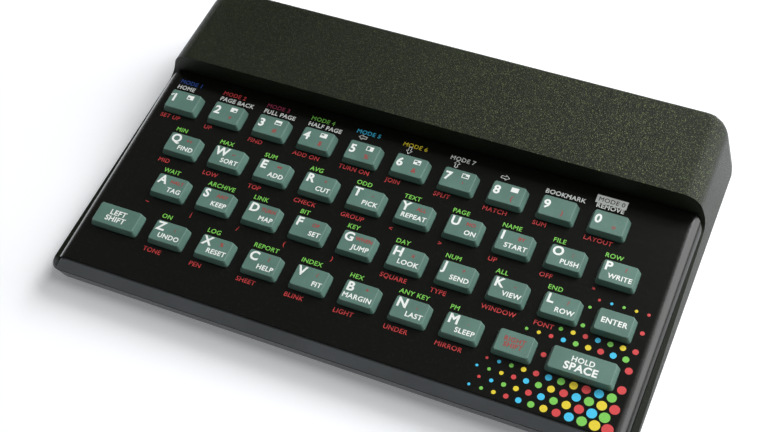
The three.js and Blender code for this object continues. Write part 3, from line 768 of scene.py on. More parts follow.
def merged_copy(node: str) -> bmesh.types.BMesh:
    """Copies a CAD node's mesh, merged and with its flat faces joined.

    Args:
        node: The CAD node's name.

    Returns:
        A new bmesh in the node's place.
    """
    bm = bmesh.new()
    bm.from_mesh(frame["nodes"][node].data)
    bmesh.ops.remove_doubles(bm, verts=bm.verts, dist=MESH_MERGE)
    bmesh.ops.dissolve_limit(
        bm,
        angle_limit=math.radians(FLAT_ANGLE),
        verts=bm.verts,
        edges=bm.edges,
        use_dissolve_boundaries=False,
    )
    bmesh.ops.recalc_face_normals(bm, faces=bm.faces)
    return bm


def bevel(
    bm: bmesh.types.BMesh,
    geometry: list,
    offset: float,
    segments: int,
    rounds: Rounds = Rounds.EDGES,
) -> None:
    """Rounds edges or corners.

    Args:
        bm: The mesh.
        geometry: The edges, or the vertices of the corners.
        offset: The width of the rounding.
        segments: Faces across it.
        rounds: What geometry holds.
    """
    bmesh.ops.bevel(
        bm,
        geom=geometry,
        offset=offset,
        offset_type="OFFSET",
        segments=segments,
        profile=0.5,
        affect=rounds.value,
        material=-1,
        clamp_overlap=True,
    )


def block(bm: bmesh.types.BMesh, middle: Vector, size: Triple, turn: float = 0.0) -> None:
    """Adds a cuboid.

    Args:
        bm: The mesh that it joins.
        middle: Its middle.
        size: Its width, depth and height.
        turn: How far it is turned about the vertical, in degrees.
    """
    rotation = Matrix.Rotation(math.radians(turn), 3, "Z")
    place = Matrix.LocRotScale(middle, rotation, Vector(size))
    bmesh.ops.create_cube(bm, size=1.0, matrix=place)


def lift(bm: bmesh.types.BMesh, faces: list, rise: float) -> None:
    """Extrudes flat faces upward.

    Args:
        bm: The mesh.
        faces: The faces.
        rise: How far they move.
    """
    grown = bmesh.ops.extrude_face_region(bm, geom=faces)["geom"]
    risen = [g for g in grown if isinstance(g, bmesh.types.BMVert)]
    bmesh.ops.translate(bm, vec=(0.0, 0.0, rise), verts=risen)


def dress(node: str, finish: Finish) -> bpy.types.Object:
    """Gives a finish to a CAD node that stays, and returns the node."""
    node_object = frame["nodes"][node]
    node_object.data.materials.clear()
    node_object.data.materials.append(finish.material())
    return node_object


# Sub-assemblies


@dataclass
class Assembly:
    """A sub-assembly, which keeps the pieces that it makes or dresses."""

    pieces: list[bpy.types.Object] = field(default_factory=list, init=False)

    def build(self) -> None:
        """Makes the pieces; each sub-assembly has its own."""
        raise NotImplementedError


@dataclass
class CaseShells(Assembly):
    """The two moulded halves of the case."""

    upper_finish: Finish = CASE_BLACK
    lower_finish: Finish = BASE_BLACK

    def build(self) -> None:
        """Makes both halves from the CAD shapes."""
        self.shell("upper_case", "case_top", self.upper_finish)
        self.shell("lower_case", "case_bottom", self.lower_finish)

    def shell(self, node: str, name: str, finish: Finish) -> None:
        """Copies one half and finishes it.

        Args:
            node: The CAD node.
            name: The new piece's name.
            finish: Its finish.
        """
        bm = merged_copy(node)
        self.pieces.append(piece_from(bm, name, finish, stands_for=(node,)))


@dataclass
class Faceplate(Assembly):
    """The enamelled steel plate around the keys."""

    edge_round: float = 0.0002
    edge_steps: int = 2
    edge_reach: float = 0.0003
    least_edge: float = 0.01
    least_turn: float = 60.0

    def build(self) -> None:
        """Copies the CAD plate, which holds every key hole."""
        bm = merged_copy("faceplate")
        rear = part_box("faceplate")[1].y
        edges = [
            edge
            for edge in bm.edges
            if min(v.co.y for v in edge.verts) > rear - self.edge_reach
            and edge.calc_length() > self.least_edge
            and edge.calc_face_angle(0.0) > math.radians(self.least_turn)
        ]
        bevel(bm, edges, self.edge_round, self.edge_steps)
        plate = piece_from(
            bm,
            "plate",
            PLATE_BLACK,
            stands_for=("faceplate",),
            smooth_angle=30.0,
        )
        self.pieces.append(plate)


@dataclass(frozen=True)
class KeyCap:
    """Sizes of one rubber key, from its flange up."""

    side_taper: float = 0.0011
    front_taper: float = 0.00045
    flange_width: float = 0.00075
    flange_thickness: float = 0.0009
    contact_width: float = 0.004
    contact_depth: float = 0.0003
    corner_radius: float = 0.0011
    edge_round: float = 0.00022
    edge_steps: int = 3
    corner_steps: int = 5

    def build(self, deck: Deck, node: str) -> bmesh.types.BMesh:
        """Raises the key from its flange by extruding and narrowing.

        Args:
            deck: The deck that the key stands on.
            node: The CAD key that gives its size and place.

        Returns:
            The key in its place.
        """
        low, high = deck.extent(node)
        middle = (low + high) / 2
        size = high - low
        bm = bmesh.new()
        bmesh.ops.create_grid(bm, x_segments=1, y_segments=1, size=0.5)
        bmesh.ops.scale(bm, vec=(size.x, size.y, 1.0), verts=bm.verts)
        bevel(bm, list(bm.verts), self.corner_radius, self.corner_steps, Rounds.CORNERS)
        bmesh.ops.translate(bm, vec=(0.0, 0.0, low.z + self.contact_depth), verts=bm.verts)
        flange = bm.faces[:][0]
        width, depth = size.x, size.y
        top = self.raised(bm, flange, self.flange_thickness, (1.0, 1.0))
        inner = (width - 2 * self.flange_width, depth - 2 * self.flange_width)
        top = self.raised(bm, top, 0.0, (inner[0] / width, inner[1] / depth))
        skirt = -low.z - self.contact_depth - self.flange_thickness
        top = self.raised(bm, top, skirt, (1.0, 1.0))
        crown = (inner[0] - 2 * self.side_taper, inner[1] - 2 * self.front_taper)
        top = self.raised(bm, top, high.z, (crown[0] / inner[0], crown[1] / inner[1]))
        bevel(bm, list(top.edges), self.edge_round, self.edge_steps)
        bm.faces.ensure_lookup_table()
        base = min(bm.faces, key=lambda face: face.calc_center_median().z)
        share = (self.contact_width / width, self.contact_width / depth)
        pip = self.raised(bm, base, 0.0, share)
        self.raised(bm, pip, -self.contact_depth, (1.0, 1.0))
        bmesh.ops.recalc_face_normals(bm, faces=bm.faces)
        bmesh.ops.translate(bm, vec=(middle.x, middle.y, 0.0), verts=bm.verts)
        bm.transform(deck.matrix)
        return bm

    @staticmethod
    def raised(
        bm: bmesh.types.BMesh, face: bmesh.types.BMFace, height: float, share: Pair
    ) -> bmesh.types.BMFace:
        """Extrudes one face and narrows it about the key's middle.

        Args:
            bm: The key so far, centred on its own axes.
            face: The face to extrude.
            height: How far it moves.
            share: Its new width and depth as shares of the old ones.

        Returns:
            The new face.
        """
        grown = bmesh.ops.extrude_face_region(bm, geom=[face])["geom"]
        new_face = next(g for g in grown if isinstance(g, bmesh.types.BMFace))
        bmesh.ops.scale(bm, vec=(share[0], share[1], 1.0), verts=new_face.verts)
        bmesh.ops.translate(bm, vec=(0.0, 0.0, height), verts=new_face.verts)
        return new_face


@dataclass(frozen=True)
class Legend:
    """What is printed on and around the key of one letter or digit."""

    main: str
    word: str = ""
    mark: str = ""
    above: str = ""
    below: str = ""

    @property
    def node(self) -> str:
        """The key's CAD node."""
        return f"key_{self.main.lower()}"


@dataclass(frozen=True)
class WideLegend:
    """The one or two lines printed on a wide key, the upper one first."""

    node: str
    lines: tuple[str, ...]
    height: float
    ink: Ink = INK_WHITE
    upper_share: float = 1.0
    weight: float = 0.000084
    spread_share: float = 0.3


ROW_LETTERS = [
    Legend("Q", "FIND", "++", "MIN", "MID"),
    Legend("W", "SORT", "--", "MAX", "LOW"),
    Legend("E", "ADD", "**", "SUM", "TOP"),
    Legend("R", "CUT", "+", "AVG", "CHECK"),
    Legend("T", "PICK", "-", "ODD", "GROUP"),
    Legend("Y", "REPEAT", "ALL", "TEXT", "<"),
    Legend("U", "ON", "NO", "PAGE", ">"),
    Legend("I", "START", "BY", "NAME", "UP"),
    Legend("O", "PUSH", ":", "FILE", "OFF"),
    Legend("P", "WRITE", "?", "ROW", "*"),
    Legend("A", "TAG", "HALT", "WAIT", "~"),
    Legend("S", "KEEP", "ANY", "ARCHIVE", "|"),
    Legend("D", "MAP", "TURN", "LINK", "/"),
    Legend("F", "SET", "OF", "BIT", "("),
    Legend("G", "JUMP", "WHEN", "KEY", ")"),
    Legend("H", "LOOK", "x", "DAY", "SQUARE"),
    Legend("J", "SEND", "+", "NUM", "TYPE"),
    Legend("K", "VIEW", "-", "ALL", "WINDOW"),
    Legend("L", "ROW", "/", "END", "FONT"),
    Legend("Z", "UNDO", ";", "ON", "TONE"),
    Legend("X", "RESET", "%", "LOG", "PEN"),
    Legend("C", "HELP", "?", "REPORT", "SHEET"),
    Legend("V", "FIT", "/", "INDEX", "BLINK"),
    Legend("B", "MARGIN", "*", "HEX", "LIGHT"),
    Legend("N", "LAST", ",", "ANY KEY", "UNDER"),
    Legend("M", "SLEEP", ".", "PM", "MIRROR"),
]
ROW_DIGITS = [
    Legend("1", above="HOME", below="SET UP"),
    Legend("2", mark="+", above="PAGE BACK", below="UP"),
    Legend("3", mark="#", above="FULL PAGE", below="FIND"),
    Legend("4", mark="$", above="HALF PAGE", below="ADD ON"),
    Legend("5", mark="%", below="TURN ON"),
    Legend("6", mark="&", below="JOIN"),
    Legend("7", mark="'", below="SPLIT"),
    Legend("8", mark="(", below="MATCH"),
    Legend("9", mark=")", above="BOOKMARK", below="SUM"),
    Legend("0", mark="=", above="REMOVE", below="LAYOUT"),
]
WIDE_KEYS = [
    WideLegend("key_enter", ("ENTER",), 0.0021),
    WideLegend("key_caps_shift", ("LEFT", "SHIFT"), 0.0022),
    WideLegend("key_symbol_shift", ("RIGHT", "SHIFT"), 0.0018, INK_FAINT_RED),
    WideLegend("key_space", ("HOLD", "SPACE"), 0.0028, INK_WHITE, 0.72, 0.00014, 0.25),
]


PLATE_INKS = [
    INK_WHITE, INK_RED, INK_GREEN, INK_BLUE, INK_MAGENTA, INK_CYAN, INK_YELLOW, INK_BLACK
]
NUMBER_INKS = [
    INK_BLUE, INK_RED, INK_MAGENTA, INK_GREEN, INK_CYAN, INK_YELLOW, INK_WHITE, None, None,
    INK_BLACK,
]
DOT_INKS = [INK_RED, INK_YELLOW, INK_GREEN, INK_CYAN]
ARROW_TURNS = {"key_5": 180.0, "key_6": -90.0, "key_7": 90.0, "key_8": 0.0}
QUARTERS = 4


@dataclass
class Lettering:
    """Turns lines of plain sans lettering into thin solid print."""

    curve_steps: int = 4
    spacing: float = 1.08
    capital: float = field(default=1.0, init=False)

    def __post_init__(self) -> None:
        """Measures the lettering's capitals."""
        rows = [v.co.y for v in self.outline("H", 1.0, Align.LEFT, 0.0).vertices]
        self.capital = max(rows) - min(rows)

    def outline(
        self, text: str, height: float, align: Align, weight: float
    ) -> bpy.types.Mesh:
        """Makes a line of lettering as a thin solid at the origin.

        Args:
            text: The line.
            height: The height of its capitals.
            align: Where it starts.
            weight: How far each stroke is widened.

        Returns:
            The mesh, with its base line on the X axis.
        """
        curve = bpy.data.curves.new("lettering", "FONT")
        curve.body = text
        curve.size = height / self.capital
        curve.align_x = align.value
        curve.space_character = self.spacing
        curve.resolution_u = self.curve_steps
        holder = bpy.data.objects.new("lettering", curve)
        mesh = bpy.data.meshes.new_from_object(holder)
        bpy.data.objects.remove(holder)
        bpy.data.curves.remove(curve)
        self.thicken(mesh, weight)
        return mesh

    @staticmethod
    def thicken(mesh: bpy.types.Mesh, weight: float) -> None:
        """Widens flat letters and gives them the print's thickness.

        Args:
            mesh: The flat letters, which it changes.
            weight: How far each stroke is widened.
        """
        bm = bmesh.new()
        bm.from_mesh(mesh)
        bmesh.ops.remove_doubles(bm, verts=bm.verts, dist=PRINT_MERGE)
        bmesh.ops.recalc_face_normals(bm, faces=bm.faces)
        if weight:
            ring = bmesh.ops.inset_region(
                bm, faces=bm.faces[:], thickness=-weight, use_boundary=True, use_even_offset=True
            )["faces"]
            bmesh.ops.delete(bm, geom=ring, context="FACES")
        lift(bm, bm.faces[:], PRINT_THICKNESS)
        bmesh.ops.translate(bm, vec=(0.0, 0.0, -PRINT_THICKNESS / 2), verts=bm.verts)
        bm.to_mesh(mesh)
        bm.free()

    def write(
        self,
        bm: bmesh.types.BMesh,
        text: str,
        place: Vector,
        height: float,
        align: Align = Align.LEFT,
        weight: float = 0.0,
    ) -> float:
        """Adds a line of print to a mesh on the deck's own axes.

        Args:
            bm: The mesh that it joins.
            text: The line.
            place: The start of its base line, on the printed surface.
            height: The height of its capitals.
            align: Where it starts.
            weight: How far each stroke is widened.

        Returns:
            How far the line reaches to the right of its place.
        """
        if not text:
            return 0.0
        mesh = self.outline(text, height, align, weight)
        reach = max(vertex.co.x for vertex in mesh.vertices)
        mesh.transform(Matrix.Translation(place + Vector((0.0, 0.0, PRINT_LIFT))))
        bm.from_mesh(mesh)
        bpy.data.meshes.remove(mesh)
        return reach


def printed(
    bm: bmesh.types.BMesh, deck: Deck, name: str, ink: Ink, body: str
) -> list[bpy.types.Object]:
    """Closes a layer of print, lays it on the deck and gives it its ink.

    Args:
        bm: The print on the deck's own axes; it is freed.
        deck: The deck.
        name: The piece's name.
        ink: Its ink.
        body: The CAD body that it rides on.

    Returns:
        The new piece in a list, or an empty list where nothing is printed.
    """
    if not bm.faces:
        bm.free()
        return []
    bmesh.ops.remove_doubles(bm, verts=bm.verts, dist=PRINT_MERGE)
    bmesh.ops.recalc_face_normals(bm, faces=bm.faces)
    bm.transform(deck.matrix)
    return [piece_from(bm, name, ink, body, smooth_angle=20.0, weighted=False)]


def patch(bm: bmesh.types.BMesh, start: Vector, size: Vector) -> None:
    """Adds a thin rectangle of print.

    Args:
        bm: The mesh that it joins.
        start: Its left front corner on the printed surface.
        size: Its width and depth, with no height.
    """
    middle = start + size / 2 + Vector((0.0, 0.0, PRINT_LIFT))
    block(bm, middle, (size.x, size.y, PRINT_THICKNESS))


@dataclass
class KeyField(Assembly):
    """The forty rubber keys and the print on them."""

    deck: Deck
    lettering: Lettering
    cap: KeyCap = KeyCap()
    main_height: float = 0.0036
    main_weight: float = 0.00017
    main_inset: float = 0.0008
    letter_base: float = 0.0003
    digit_base: float = -0.0011
    flag_length: float = 0.0013
    flag_width: float = 0.00055
    flag_turn: float = 38.0
    word_height: float = 0.00195
    word_weight: float = 0.00007
    word_inset: float = 0.0007
    word_base: float = -0.0028
    mark_shift: float = 0.0024
    mark_height: float = 0.0015
    mark_base: float = 0.0013
    digit_mark_height: float = 0.00195
    digit_mark_base: float = -0.0026
    squares: int = 8
    square_width: float = 0.0029
    square_depth: float = 0.0021
    square_shift: float = 0.0024
    square_base: float = 0.0013
    square_line: float = 0.0003

    def build(self) -> None:
        """Makes each key, then the print on it."""
        for node in frame["nodes"]:
            if node.startswith("key_") and node != "key_mat":
                self.rubber_key(node)
        for legend in ROW_LETTERS:
            self.legend_print(legend)
        for number, legend in enumerate(ROW_DIGITS):
            self.legend_print(legend, number)
        for wide in WIDE_KEYS:
            self.wide_print(wide)

    def rubber_key(self, node: str) -> None:
        """Makes one key, which stands for its CAD node."""
        bm = self.cap.build(self.deck, node)
        name = node.replace("key", "rubber_key")
        self.pieces.append(piece_from(bm, name, KEY_GREEN, f"{node}_body", (node,)))

    def top(self, node: str) -> tuple[Vector, float]:
        """Middle of a key's top face, with its half width."""
        low, high = self.deck.extent(node)
        middle = (low + high) / 2
        narrower = self.cap.side_taper + self.cap.flange_width
        return Vector((middle.x, middle.y, high.z)), (high.x - low.x) / 2 - narrower

    def legend_print(self, legend: Legend, number: int | None = None) -> None:
        """Prints a letter or digit, a word or quartered square, and a faint mark.

        Args:
            legend: What the key carries.
            number: A digit key's place in its row, which picks the square's quarters.
        """
        is_digit = number is not None
        centre, half_width = self.top(legend.node)
        white, faint = bmesh.new(), bmesh.new()
        base = self.digit_base if is_digit else self.letter_base
        place = centre + flat(self.main_inset - half_width, base)
        self.lettering.write(white, legend.main, place, self.main_height, weight=self.main_weight)
        if legend.main == "1":
            self.flag(white, place)
        if is_digit and number < self.squares:
            self.square(white, centre, number)
        self.lettering.write(
            white,
            legend.word,
            centre + flat(half_width - self.word_inset, self.word_base),
            self.word_height,
            Align.RIGHT,
            self.word_weight,
        )
        mark_base = self.digit_mark_base if is_digit else self.mark_base
        self.lettering.write(
            faint,
            legend.mark,
            centre + flat(self.mark_shift, mark_base),
            self.digit_mark_height if is_digit else self.mark_height,
            Align.CENTRE,
            self.word_weight,
        )
        self.lay(white, f"print_{legend.node}", legend.node, INK_WHITE)
        self.lay(faint, f"mark_{legend.node}", legend.node, INK_FAINT_RED)

    def flag(self, bm: bmesh.types.BMesh, place: Vector) -> None:
        """Adds the short slanting stroke at the head of a 1.

        Args:
            bm: The white print.
            place: Where the digit starts.
        """
        up = self.main_height - self.flag_length / 2
        middle = place + Vector((0.0, up, PRINT_LIFT))
        block(bm, middle, (self.flag_length, self.flag_width, PRINT_THICKNESS), self.flag_turn)

    def square(self, bm: bmesh.types.BMesh, centre: Vector, number: int) -> None:
        """Adds a small framed square with some of its quarters left open.

        Args:
            bm: The white print.
            centre: The middle of the key's top.
            number: The bits of the number after it say which quarters stay open;
                the last quarter never does.
        """
        width, depth, line = self.square_width, self.square_depth, self.square_line
        corner = centre + flat(self.square_shift - width / 2, self.square_base)
        across = flat(width, line)
        along = flat(line, depth - 2 * line)
        for x, y, size in (
            (0.0, 0.0, across),
            (0.0, depth - line, across),
            (0.0, line, along),
            (width - line, line, along),
        ):
            patch(bm, corner + flat(x, y), size)
        quarter = flat(width / 2 - line, depth / 2 - line)
        for bit in range(QUARTERS):
            is_open = (number + 1) >> bit & 1
            if bit == QUARTERS - 1 or not is_open:
                start = flat(line + bit % 2 * quarter.x, line + bit // 2 * quarter.y)
                patch(bm, corner + start, quarter)

    def wide_print(self, legend: WideLegend) -> None:
        """Prints the words in the middle of a wide key.

        Args:
            legend: What the key carries.
        """
        centre, _ = self.top(legend.node)
        bm = bmesh.new()
        height, lines = legend.height, legend.lines
        spread = height * legend.spread_share
        base = -height / 2 if len(lines) == 1 else -height - spread / 2
        self.lettering.write(
            bm, lines[-1], centre + flat(0.0, base), height, Align.CENTRE, legend.weight
        )
        if len(lines) > 1:
            self.lettering.write(
                bm,
                lines[0],
                centre + flat(0.0, base + height + spread),
                height * legend.upper_share,
                Align.CENTRE,
                self.word_weight,
            )
        self.lay(bm, f"print_{legend.node}", legend.node, legend.ink)

    def lay(self, bm: bmesh.types.BMesh, name: str, node: str, ink: Ink) -> None:
        """Lays one layer of print on a key."""
        self.pieces += printed(bm, self.deck, name, ink, f"{node}_body")


@dataclass
class PlatePrint(Assembly):
    """The coloured words, arrows and dots printed on the faceplate."""

    deck: Deck
    lettering: Lettering
    cap: KeyCap = KeyCap()
    word_height: float = 0.00185
    word_weight: float = 0.00004
    caption_weight: float = 0.00008
    label_weight: float = 0.00001
    left_shift: float = -0.0074
    above_base: float = 0.0073
    caption_base: float = 0.0074
    number_base: float = 0.0103
    below_base: float = -0.0086
    digit_below_base: float = -0.0079
    ground_margin: float = 0.0009
    arrow_length: float = 0.0036
    arrow_width: float = 0.0027
    arrow_line: float = 0.00042
    dot_radius: float = 0.0021
    least_dot: float = 0.0005
    dot_pitch: float = 0.0046
    corner: Pair = (0.1064, -0.0955)
    dot_columns: int = 13
    dot_rows: int = 16
    dot_reach: float = 0.068
    dot_sides: int = 28
    dot_margin: float = 0.0004
    words: list[tuple[Vector, Vector]] = field(default_factory=list, init=False)

    def build(self) -> None:
        """Prints every layer, one piece for each ink."""
        layers = {ink: bmesh.new() for ink in PLATE_INKS}
        white, red, black = layers[INK_WHITE], layers[INK_RED], layers[INK_BLACK]
        for legend in ROW_LETTERS:
            self.word(layers[INK_GREEN], legend.node, legend.above, self.above_base)
            self.word(red, legend.node, legend.below, self.below_base)
        for legend, ink in zip(ROW_DIGITS, NUMBER_INKS):
            self.word(white, legend.node, legend.above, self.caption_base, self.caption_weight)
            self.word(red, legend.node, legend.below, self.digit_below_base)
            mode = f"MODE {legend.main}"
            if ink is INK_BLACK:
                self.label_patch(white, legend.node, mode)
                self.word(black, legend.node, mode, self.number_base, self.label_weight)
            elif ink:
                self.word(layers[ink], legend.node, mode, self.number_base)
        for node, turn in ARROW_TURNS.items():
            self.arrow(white, node, turn)
        self.dots([layers[ink] for ink in DOT_INKS])
        bmesh.ops.translate(black, vec=(0.0, 0.0, PRINT_THICKNESS), verts=black.verts)
        for ink, bm in layers.items():
            name = f"plate_{ink.name}"
            self.pieces += printed(bm, self.deck, name, ink, CASE_BODY)

    def centre(self, node: str) -> Vector:
        """The middle of a key, on the plate's surface."""
        low, high = self.deck.extent(node)
        return flat((low.x + high.x) / 2, (low.y + high.y) / 2)

    def word(
        self,
        bm: bmesh.types.BMesh,
        node: str,
        text: str,
        base: float,
        weight: float | None = None,
    ) -> None:
        """Prints one word beside a key and keeps its place clear of dots.

        Args:
            bm: The ink's layer.
            node: The key.
            text: The word.
            base: The height of its base line over the key's middle.
            weight: How far its strokes are widened, if not by the usual amount.
        """
        place = self.centre(node) + flat(self.left_shift, base)
        strokes = self.word_weight if weight is None else weight
        reach = self.lettering.write(bm, text, place, self.word_height, Align.LEFT, strokes)
        self.words.append((place, place + flat(reach, self.word_height)))

    def label_patch(self, bm: bmesh.types.BMesh, node: str, text: str) -> None:
        """Prints the pale ground under a black word.

        Args:
            bm: The white layer.
            node: The key behind which it lies.
            text: The word that it frames.
        """
        mesh = self.lettering.outline(text, self.word_height, Align.LEFT, self.word_weight)
        width = max(vertex.co.x for vertex in mesh.vertices)
        bpy.data.meshes.remove(mesh)
        margin = self.ground_margin
        start = flat(self.left_shift - margin, self.number_base - margin)
        size = flat(width + 2 * margin, self.word_height + 2 * margin)
        patch(bm, self.centre(node) + start, size)

    def arrow(self, bm: bmesh.types.BMesh, node: str, turn: float) -> None:
        """Prints a small outlined arrow behind a key.

        Args:
            bm: The ink's layer.
            node: The key.
            turn: Degrees from pointing right.
        """
        half, reach = self.arrow_width / 2, self.arrow_length / 2
        shaft = half / 2
        outline = [
            (-reach, -shaft),
            (0.0, -shaft),
            (0.0, -half),
            (reach, 0.0),
            (0.0, half),
            (0.0, shaft),
            (-reach, shaft),
        ]
        layer = bmesh.new()
        corners = [layer.verts.new((x, y, 0.0)) for x, y in outline]
        face = layer.faces.new(corners)
        face.normal_update()
        bmesh.ops.inset_region(layer, faces=[face], thickness=self.arrow_line, use_boundary=True)
        bmesh.ops.delete(layer, geom=[face], context="FACES")
        lift(layer, layer.faces[:], PRINT_THICKNESS)
        spot = self.centre(node) + flat(self.left_shift + 2 * reach, self.caption_base + half)
        layer.transform(Matrix.Translation(spot) @ Matrix.Rotation(math.radians(turn), 4, "Z"))
        scrap = bpy.data.meshes.new("arrow")
        layer.to_mesh(scrap)
        layer.free()
        bm.from_mesh(scrap)
        bpy.data.meshes.remove(scrap)

    def dots(self, layers: list[bmesh.types.BMesh]) -> None:
        """Prints dots that shrink away from the front right corner.

        Args:
            layers: The layers of the dots' inks.
        """
        flange = flat(self.cap.flange_width, self.cap.flange_width)
        boxes = [self.deck.extent(node) for node in frame["nodes"] if node.startswith("key_")]
        taken = [(low + flange, high - flange) for low, high in boxes if high.z > 0]
        taken += self.words
        for column in range(self.dot_columns):
            for row in range(self.dot_rows):
                across = (column + (row % 2) / 2) * self.dot_pitch
                along = row * self.dot_pitch * math.sqrt(3) / 2
                away = math.hypot(across, along) / self.dot_reach
                radius = self.dot_radius * (1.0 - away)
                middle = flat(self.corner[0] - across, self.corner[1] + along)
                if radius < self.least_dot or any(self.meets(middle, radius, b) for b in taken):
                    continue
                layer = layers[(column + 2 * row) % len(layers)]
                place = Matrix.Translation(middle + Vector((0.0, 0.0, PRINT_LIFT)))
                bmesh.ops.create_cone(
                    layer,
                    cap_ends=True,
                    segments=self.dot_sides,
                    radius1=radius,
                    radius2=radius,
                    depth=PRINT_THICKNESS,
                    matrix=place,
                )

    def meets(self, middle: Vector, radius: float, box: tuple[Vector, Vector]) -> bool:
        """Whether a dot would touch a key or a word, which the box frames."""
        edge = self.dot_margin + radius
        low, high = box
        return (
            low.x - edge < middle.x < high.x + edge
            and low.y - edge < middle.y < high.y + edge
        )


@dataclass
class Insides(Assembly):
    """What lies under the faceplate and behind the rear panel."""

    finger_pitch: float = 0.00254
    finger_width: float = 0.0017
    finger_length: float = 0.0052
    finger_inset: float = 0.0003
    finger_lift: float = 0.00003

    def build(self) -> None:
        """Dresses the hidden parts and adds the gold contact fingers."""
        finishes = {
            "key_mat": MAT_RUBBER,
            "keyboard_membrane": FILM,
            "circuit_board": BOARD_GREEN,
            "display_logic": CHIP_BLACK,
            "processor": CHIP_BLACK,
            "rom_chip": CHIP_BLACK,
            "tv_modulator": TIN,
            "ear_socket": SOCKET_BLACK,
            "mic_socket": SOCKET_BLACK,
            "power_socket": SOCKET_BLACK,
            "heat_sink": ALUMINIUM,
            "voltage_regulator": CHIP_BLACK,
            "beeper": SOCKET_BLACK,
        }
        self.pieces = [dress(node, finish) for node, finish in finishes.items()]
        self.pieces.append(self.fingers())

    def fingers(self) -> bpy.types.Object:
        """Plates the contact fingers on both sides of the board's tongue."""
        points = [v.co for v in frame["nodes"]["circuit_board"].data.vertices]
        rear = max(p.y for p in points)
        tongue = [p for p in points if p.y > rear - self.finger_lift]
        left, right = min(p.x for p in tongue), max(p.x for p in tongue)
        sides = (min(p.z for p in tongue), max(p.z for p in tongue))
        count = int((right - left) / self.finger_pitch)
        start = (left + right) / 2 - (count - 1) * self.finger_pitch / 2
        bm = bmesh.new()
        for number in range(count):
            for level, side in zip(sides, (-1, 1)):
                middle = Vector(
                    (
                        start + number * self.finger_pitch,
                        rear - self.finger_inset - self.finger_length / 2,
                        level + side * self.finger_lift / 2,
                    )
                )
                block(bm, middle, (self.finger_width, self.finger_length, self.finger_lift))
        return piece_from(bm, "contact_fingers", GOLD, weighted=False)


@dataclass
class Underside(Assembly):
    """The feet and the screws that hold the case together."""

    head_radius: float = 0.0027
    head_height: float = 0.0011
    head_round: float = 0.00025
    round_steps: int = 3
    head_sides: int = 32
    seat_height: float = 0.00258
    cross_reach: float = 0.0015
    cross_width: float = 0.00055
    cross_depth: float = 0.0007
    places: tuple[Pair, ...] = (
        (-0.098, -0.0634),
        (0.098, -0.0634),
        (0.0, -0.005),
        (-0.106, 0.045),
        (0.106, 0.045),
    )

    def build(self) -> None:
        """Dresses the four feet and sets the screws."""
        for place in ("front_left", "front_right", "rear_left", "rear_right"):
            self.pieces.append(dress(f"foot_{place}", FOOT_RUBBER))
        for number, place in enumerate(self.places):
            screw = piece_from(
                self.screw(place),
                f"case_screw_{number + 1}",
                SCREW_STEEL,
                smooth_angle=40.0,
            )
            self.pieces.append(screw)

    def screw(self, place: Pair) -> bmesh.types.BMesh:
        """Makes a screw head with a cross recess, which looks down.

        Args:
            place: Its axis, seen from above.

        Returns:
            The head in its place.
        """
        bm = bmesh.new()
        half, reach = self.cross_width / 2, self.cross_reach
        arm = [(reach, -half), (reach, half), (half, half)]
        outline = [
            (x * math.cos(turn) - y * math.sin(turn), x * math.sin(turn) + y * math.cos(turn))
            for turn in (0.0, math.pi / 2, math.pi, -math.pi / 2)
            for x, y in arm
        ]
        cross = bm.faces.new([bm.verts.new((x, y, 0.0)) for x, y in outline])
        inner = cross.edges[:]
        rim = bmesh.ops.create_circle(
            bm, cap_ends=False, radius=self.head_radius, segments=self.head_sides
        )["verts"]
        outer = list({edge for vert in rim for edge in vert.link_edges})
        bmesh.ops.bridge_loops(bm, edges=inner + outer)
        lift(bm, [cross], self.cross_depth)
        side = bmesh.ops.extrude_edge_only(bm, edges=outer)["geom"]
        foot = [g for g in side if isinstance(g, bmesh.types.BMVert)]
        bmesh.ops.translate(bm, vec=(0.0, 0.0, self.head_height), verts=foot)
        foot_edges = [g for g in side if isinstance(g, bmesh.types.BMEdge)]
        bmesh.ops.edgeloop_fill(bm, edges=foot_edges)
        bmesh.ops.recalc_face_normals(bm, faces=bm.faces)
        rounded = [edge for edge in outer if edge.is_valid]
        bevel(bm, rounded, self.head_round, self.round_steps)
        low = self.seat_height - self.head_height
        bmesh.ops.translate(bm, vec=(place[0], place[1], low), verts=bm.verts)
        return bm


@dataclass(frozen=True)
class SoftBox:
    """A square lamp that looks at the object: its place, side and watts."""

    name: str
    place: Triple
    size: float
    power: float


SOFT_BOXES = [
    SoftBox("side_light", (1.05, 0.72, 0.7), 0.95, 14.0),
    SoftBox("rear_light", (0.5, 1.05, 0.92), 0.7, 17.0),
    SoftBox("top_light", (0.6, 0.1, 1.25), 0.6, 4.8),
    SoftBox("front_panel", (-0.6, -1.6, 0.25), 0.9, 2.1),
]


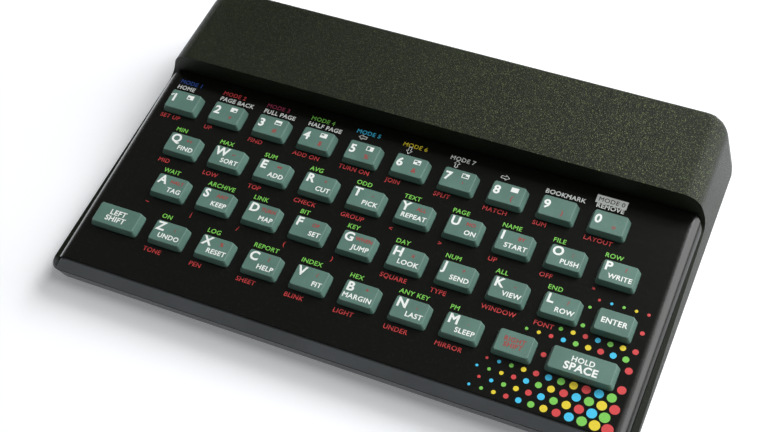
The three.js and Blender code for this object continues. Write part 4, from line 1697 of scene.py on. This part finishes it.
@dataclass
class Studio:
    """The camera, the floor and the light."""

    camera_place: Triple = (0.15504, -0.296442, 0.44265)
    view_right: Triple = (0.916775, 0.393138, -0.070462)
    view_down: Triple = (0.274565, -0.748465, -0.603668)
    view_forward: Triple = (-0.290064, 0.534082, -0.794116)
    lens: float = 65.65
    sensor: float = 36.0
    clip: Pair = (0.01, 20.0)
    floor_size: float = 6.0
    floor_drop: float = 0.00002
    world_color: Color = (0.98, 1.0, 0.95)
    world_strength: float = 0.15

    def build(self) -> None:
        """Sets up the whole studio."""
        self.camera()
        self.floor()
        self.world()
        for box in SOFT_BOXES:
            self.hang(box)
        bpy.context.scene.view_settings.view_transform = "Standard"
        log.info("studio: camera, floor and lights")

    def camera(self) -> None:
        """Stands the camera where the photograph was taken."""
        data = bpy.data.cameras.new("camera")
        data.lens = self.lens
        data.sensor_width = self.sensor
        data.clip_start, data.clip_end = self.clip
        camera = linked("camera", data)
        up = -Vector(self.view_down)
        turn = Matrix((self.view_right, up, -Vector(self.view_forward))).transposed()
        camera.matrix_world = Matrix.Translation(self.camera_place) @ turn.to_4x4()
        bpy.context.scene.camera = camera

    def floor(self) -> None:
        """Lays a plain white floor that keeps the soft shadow."""
        bm = bmesh.new()
        bmesh.ops.create_grid(bm, x_segments=1, y_segments=1, size=self.floor_size / 2)
        bmesh.ops.translate(bm, vec=(0.0, 0.0, -self.floor_drop), verts=bm.verts)
        mesh = bpy.data.meshes.new("floor")
        bm.to_mesh(mesh)
        bm.free()
        mesh.materials.append(FLOOR_WHITE.material())
        linked("floor", mesh)

    def world(self) -> None:
        """Fills the room with an even grey light."""
        world = bpy.data.worlds.new("room")
        world.use_nodes = True
        back = world.node_tree.nodes["Background"]
        sheet = NodeSheet(world.node_tree)
        sheet.feed(back, Color=self.world_color, Strength=self.world_strength)
        bpy.context.scene.world = world

    def hang(self, box: SoftBox) -> None:
        """Hangs one lamp and turns it to the object."""
        data = bpy.data.lights.new(box.name, "AREA")
        data.shape = "SQUARE"
        data.size = box.size
        data.energy = box.power
        lamp = linked(box.name, data)
        lamp.location = box.place
        lamp.rotation_mode = "QUATERNION"
        lamp.rotation_quaternion = (-Vector(box.place)).to_track_quat("-Z", "Y")


def write_sizes() -> None:
    """Brings the scene's object matrices up to date."""
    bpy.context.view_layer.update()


def main() -> None:
    """Builds the whole model in order."""
    deck = Deck()
    lettering = Lettering()
    Studio().build()
    assemblies = [
        CaseShells(),
        Faceplate(),
        KeyField(deck, lettering),
        PlatePrint(deck, lettering),
        Insides(),
        Underside(),
    ]
    for assembly in assemblies:
        assembly.build()
        for piece in assembly.pieces:
            log.info("%s: %d faces", piece.name, len(piece.data.polygons))
    write_sizes()


if __name__ == "__main__":
    main()
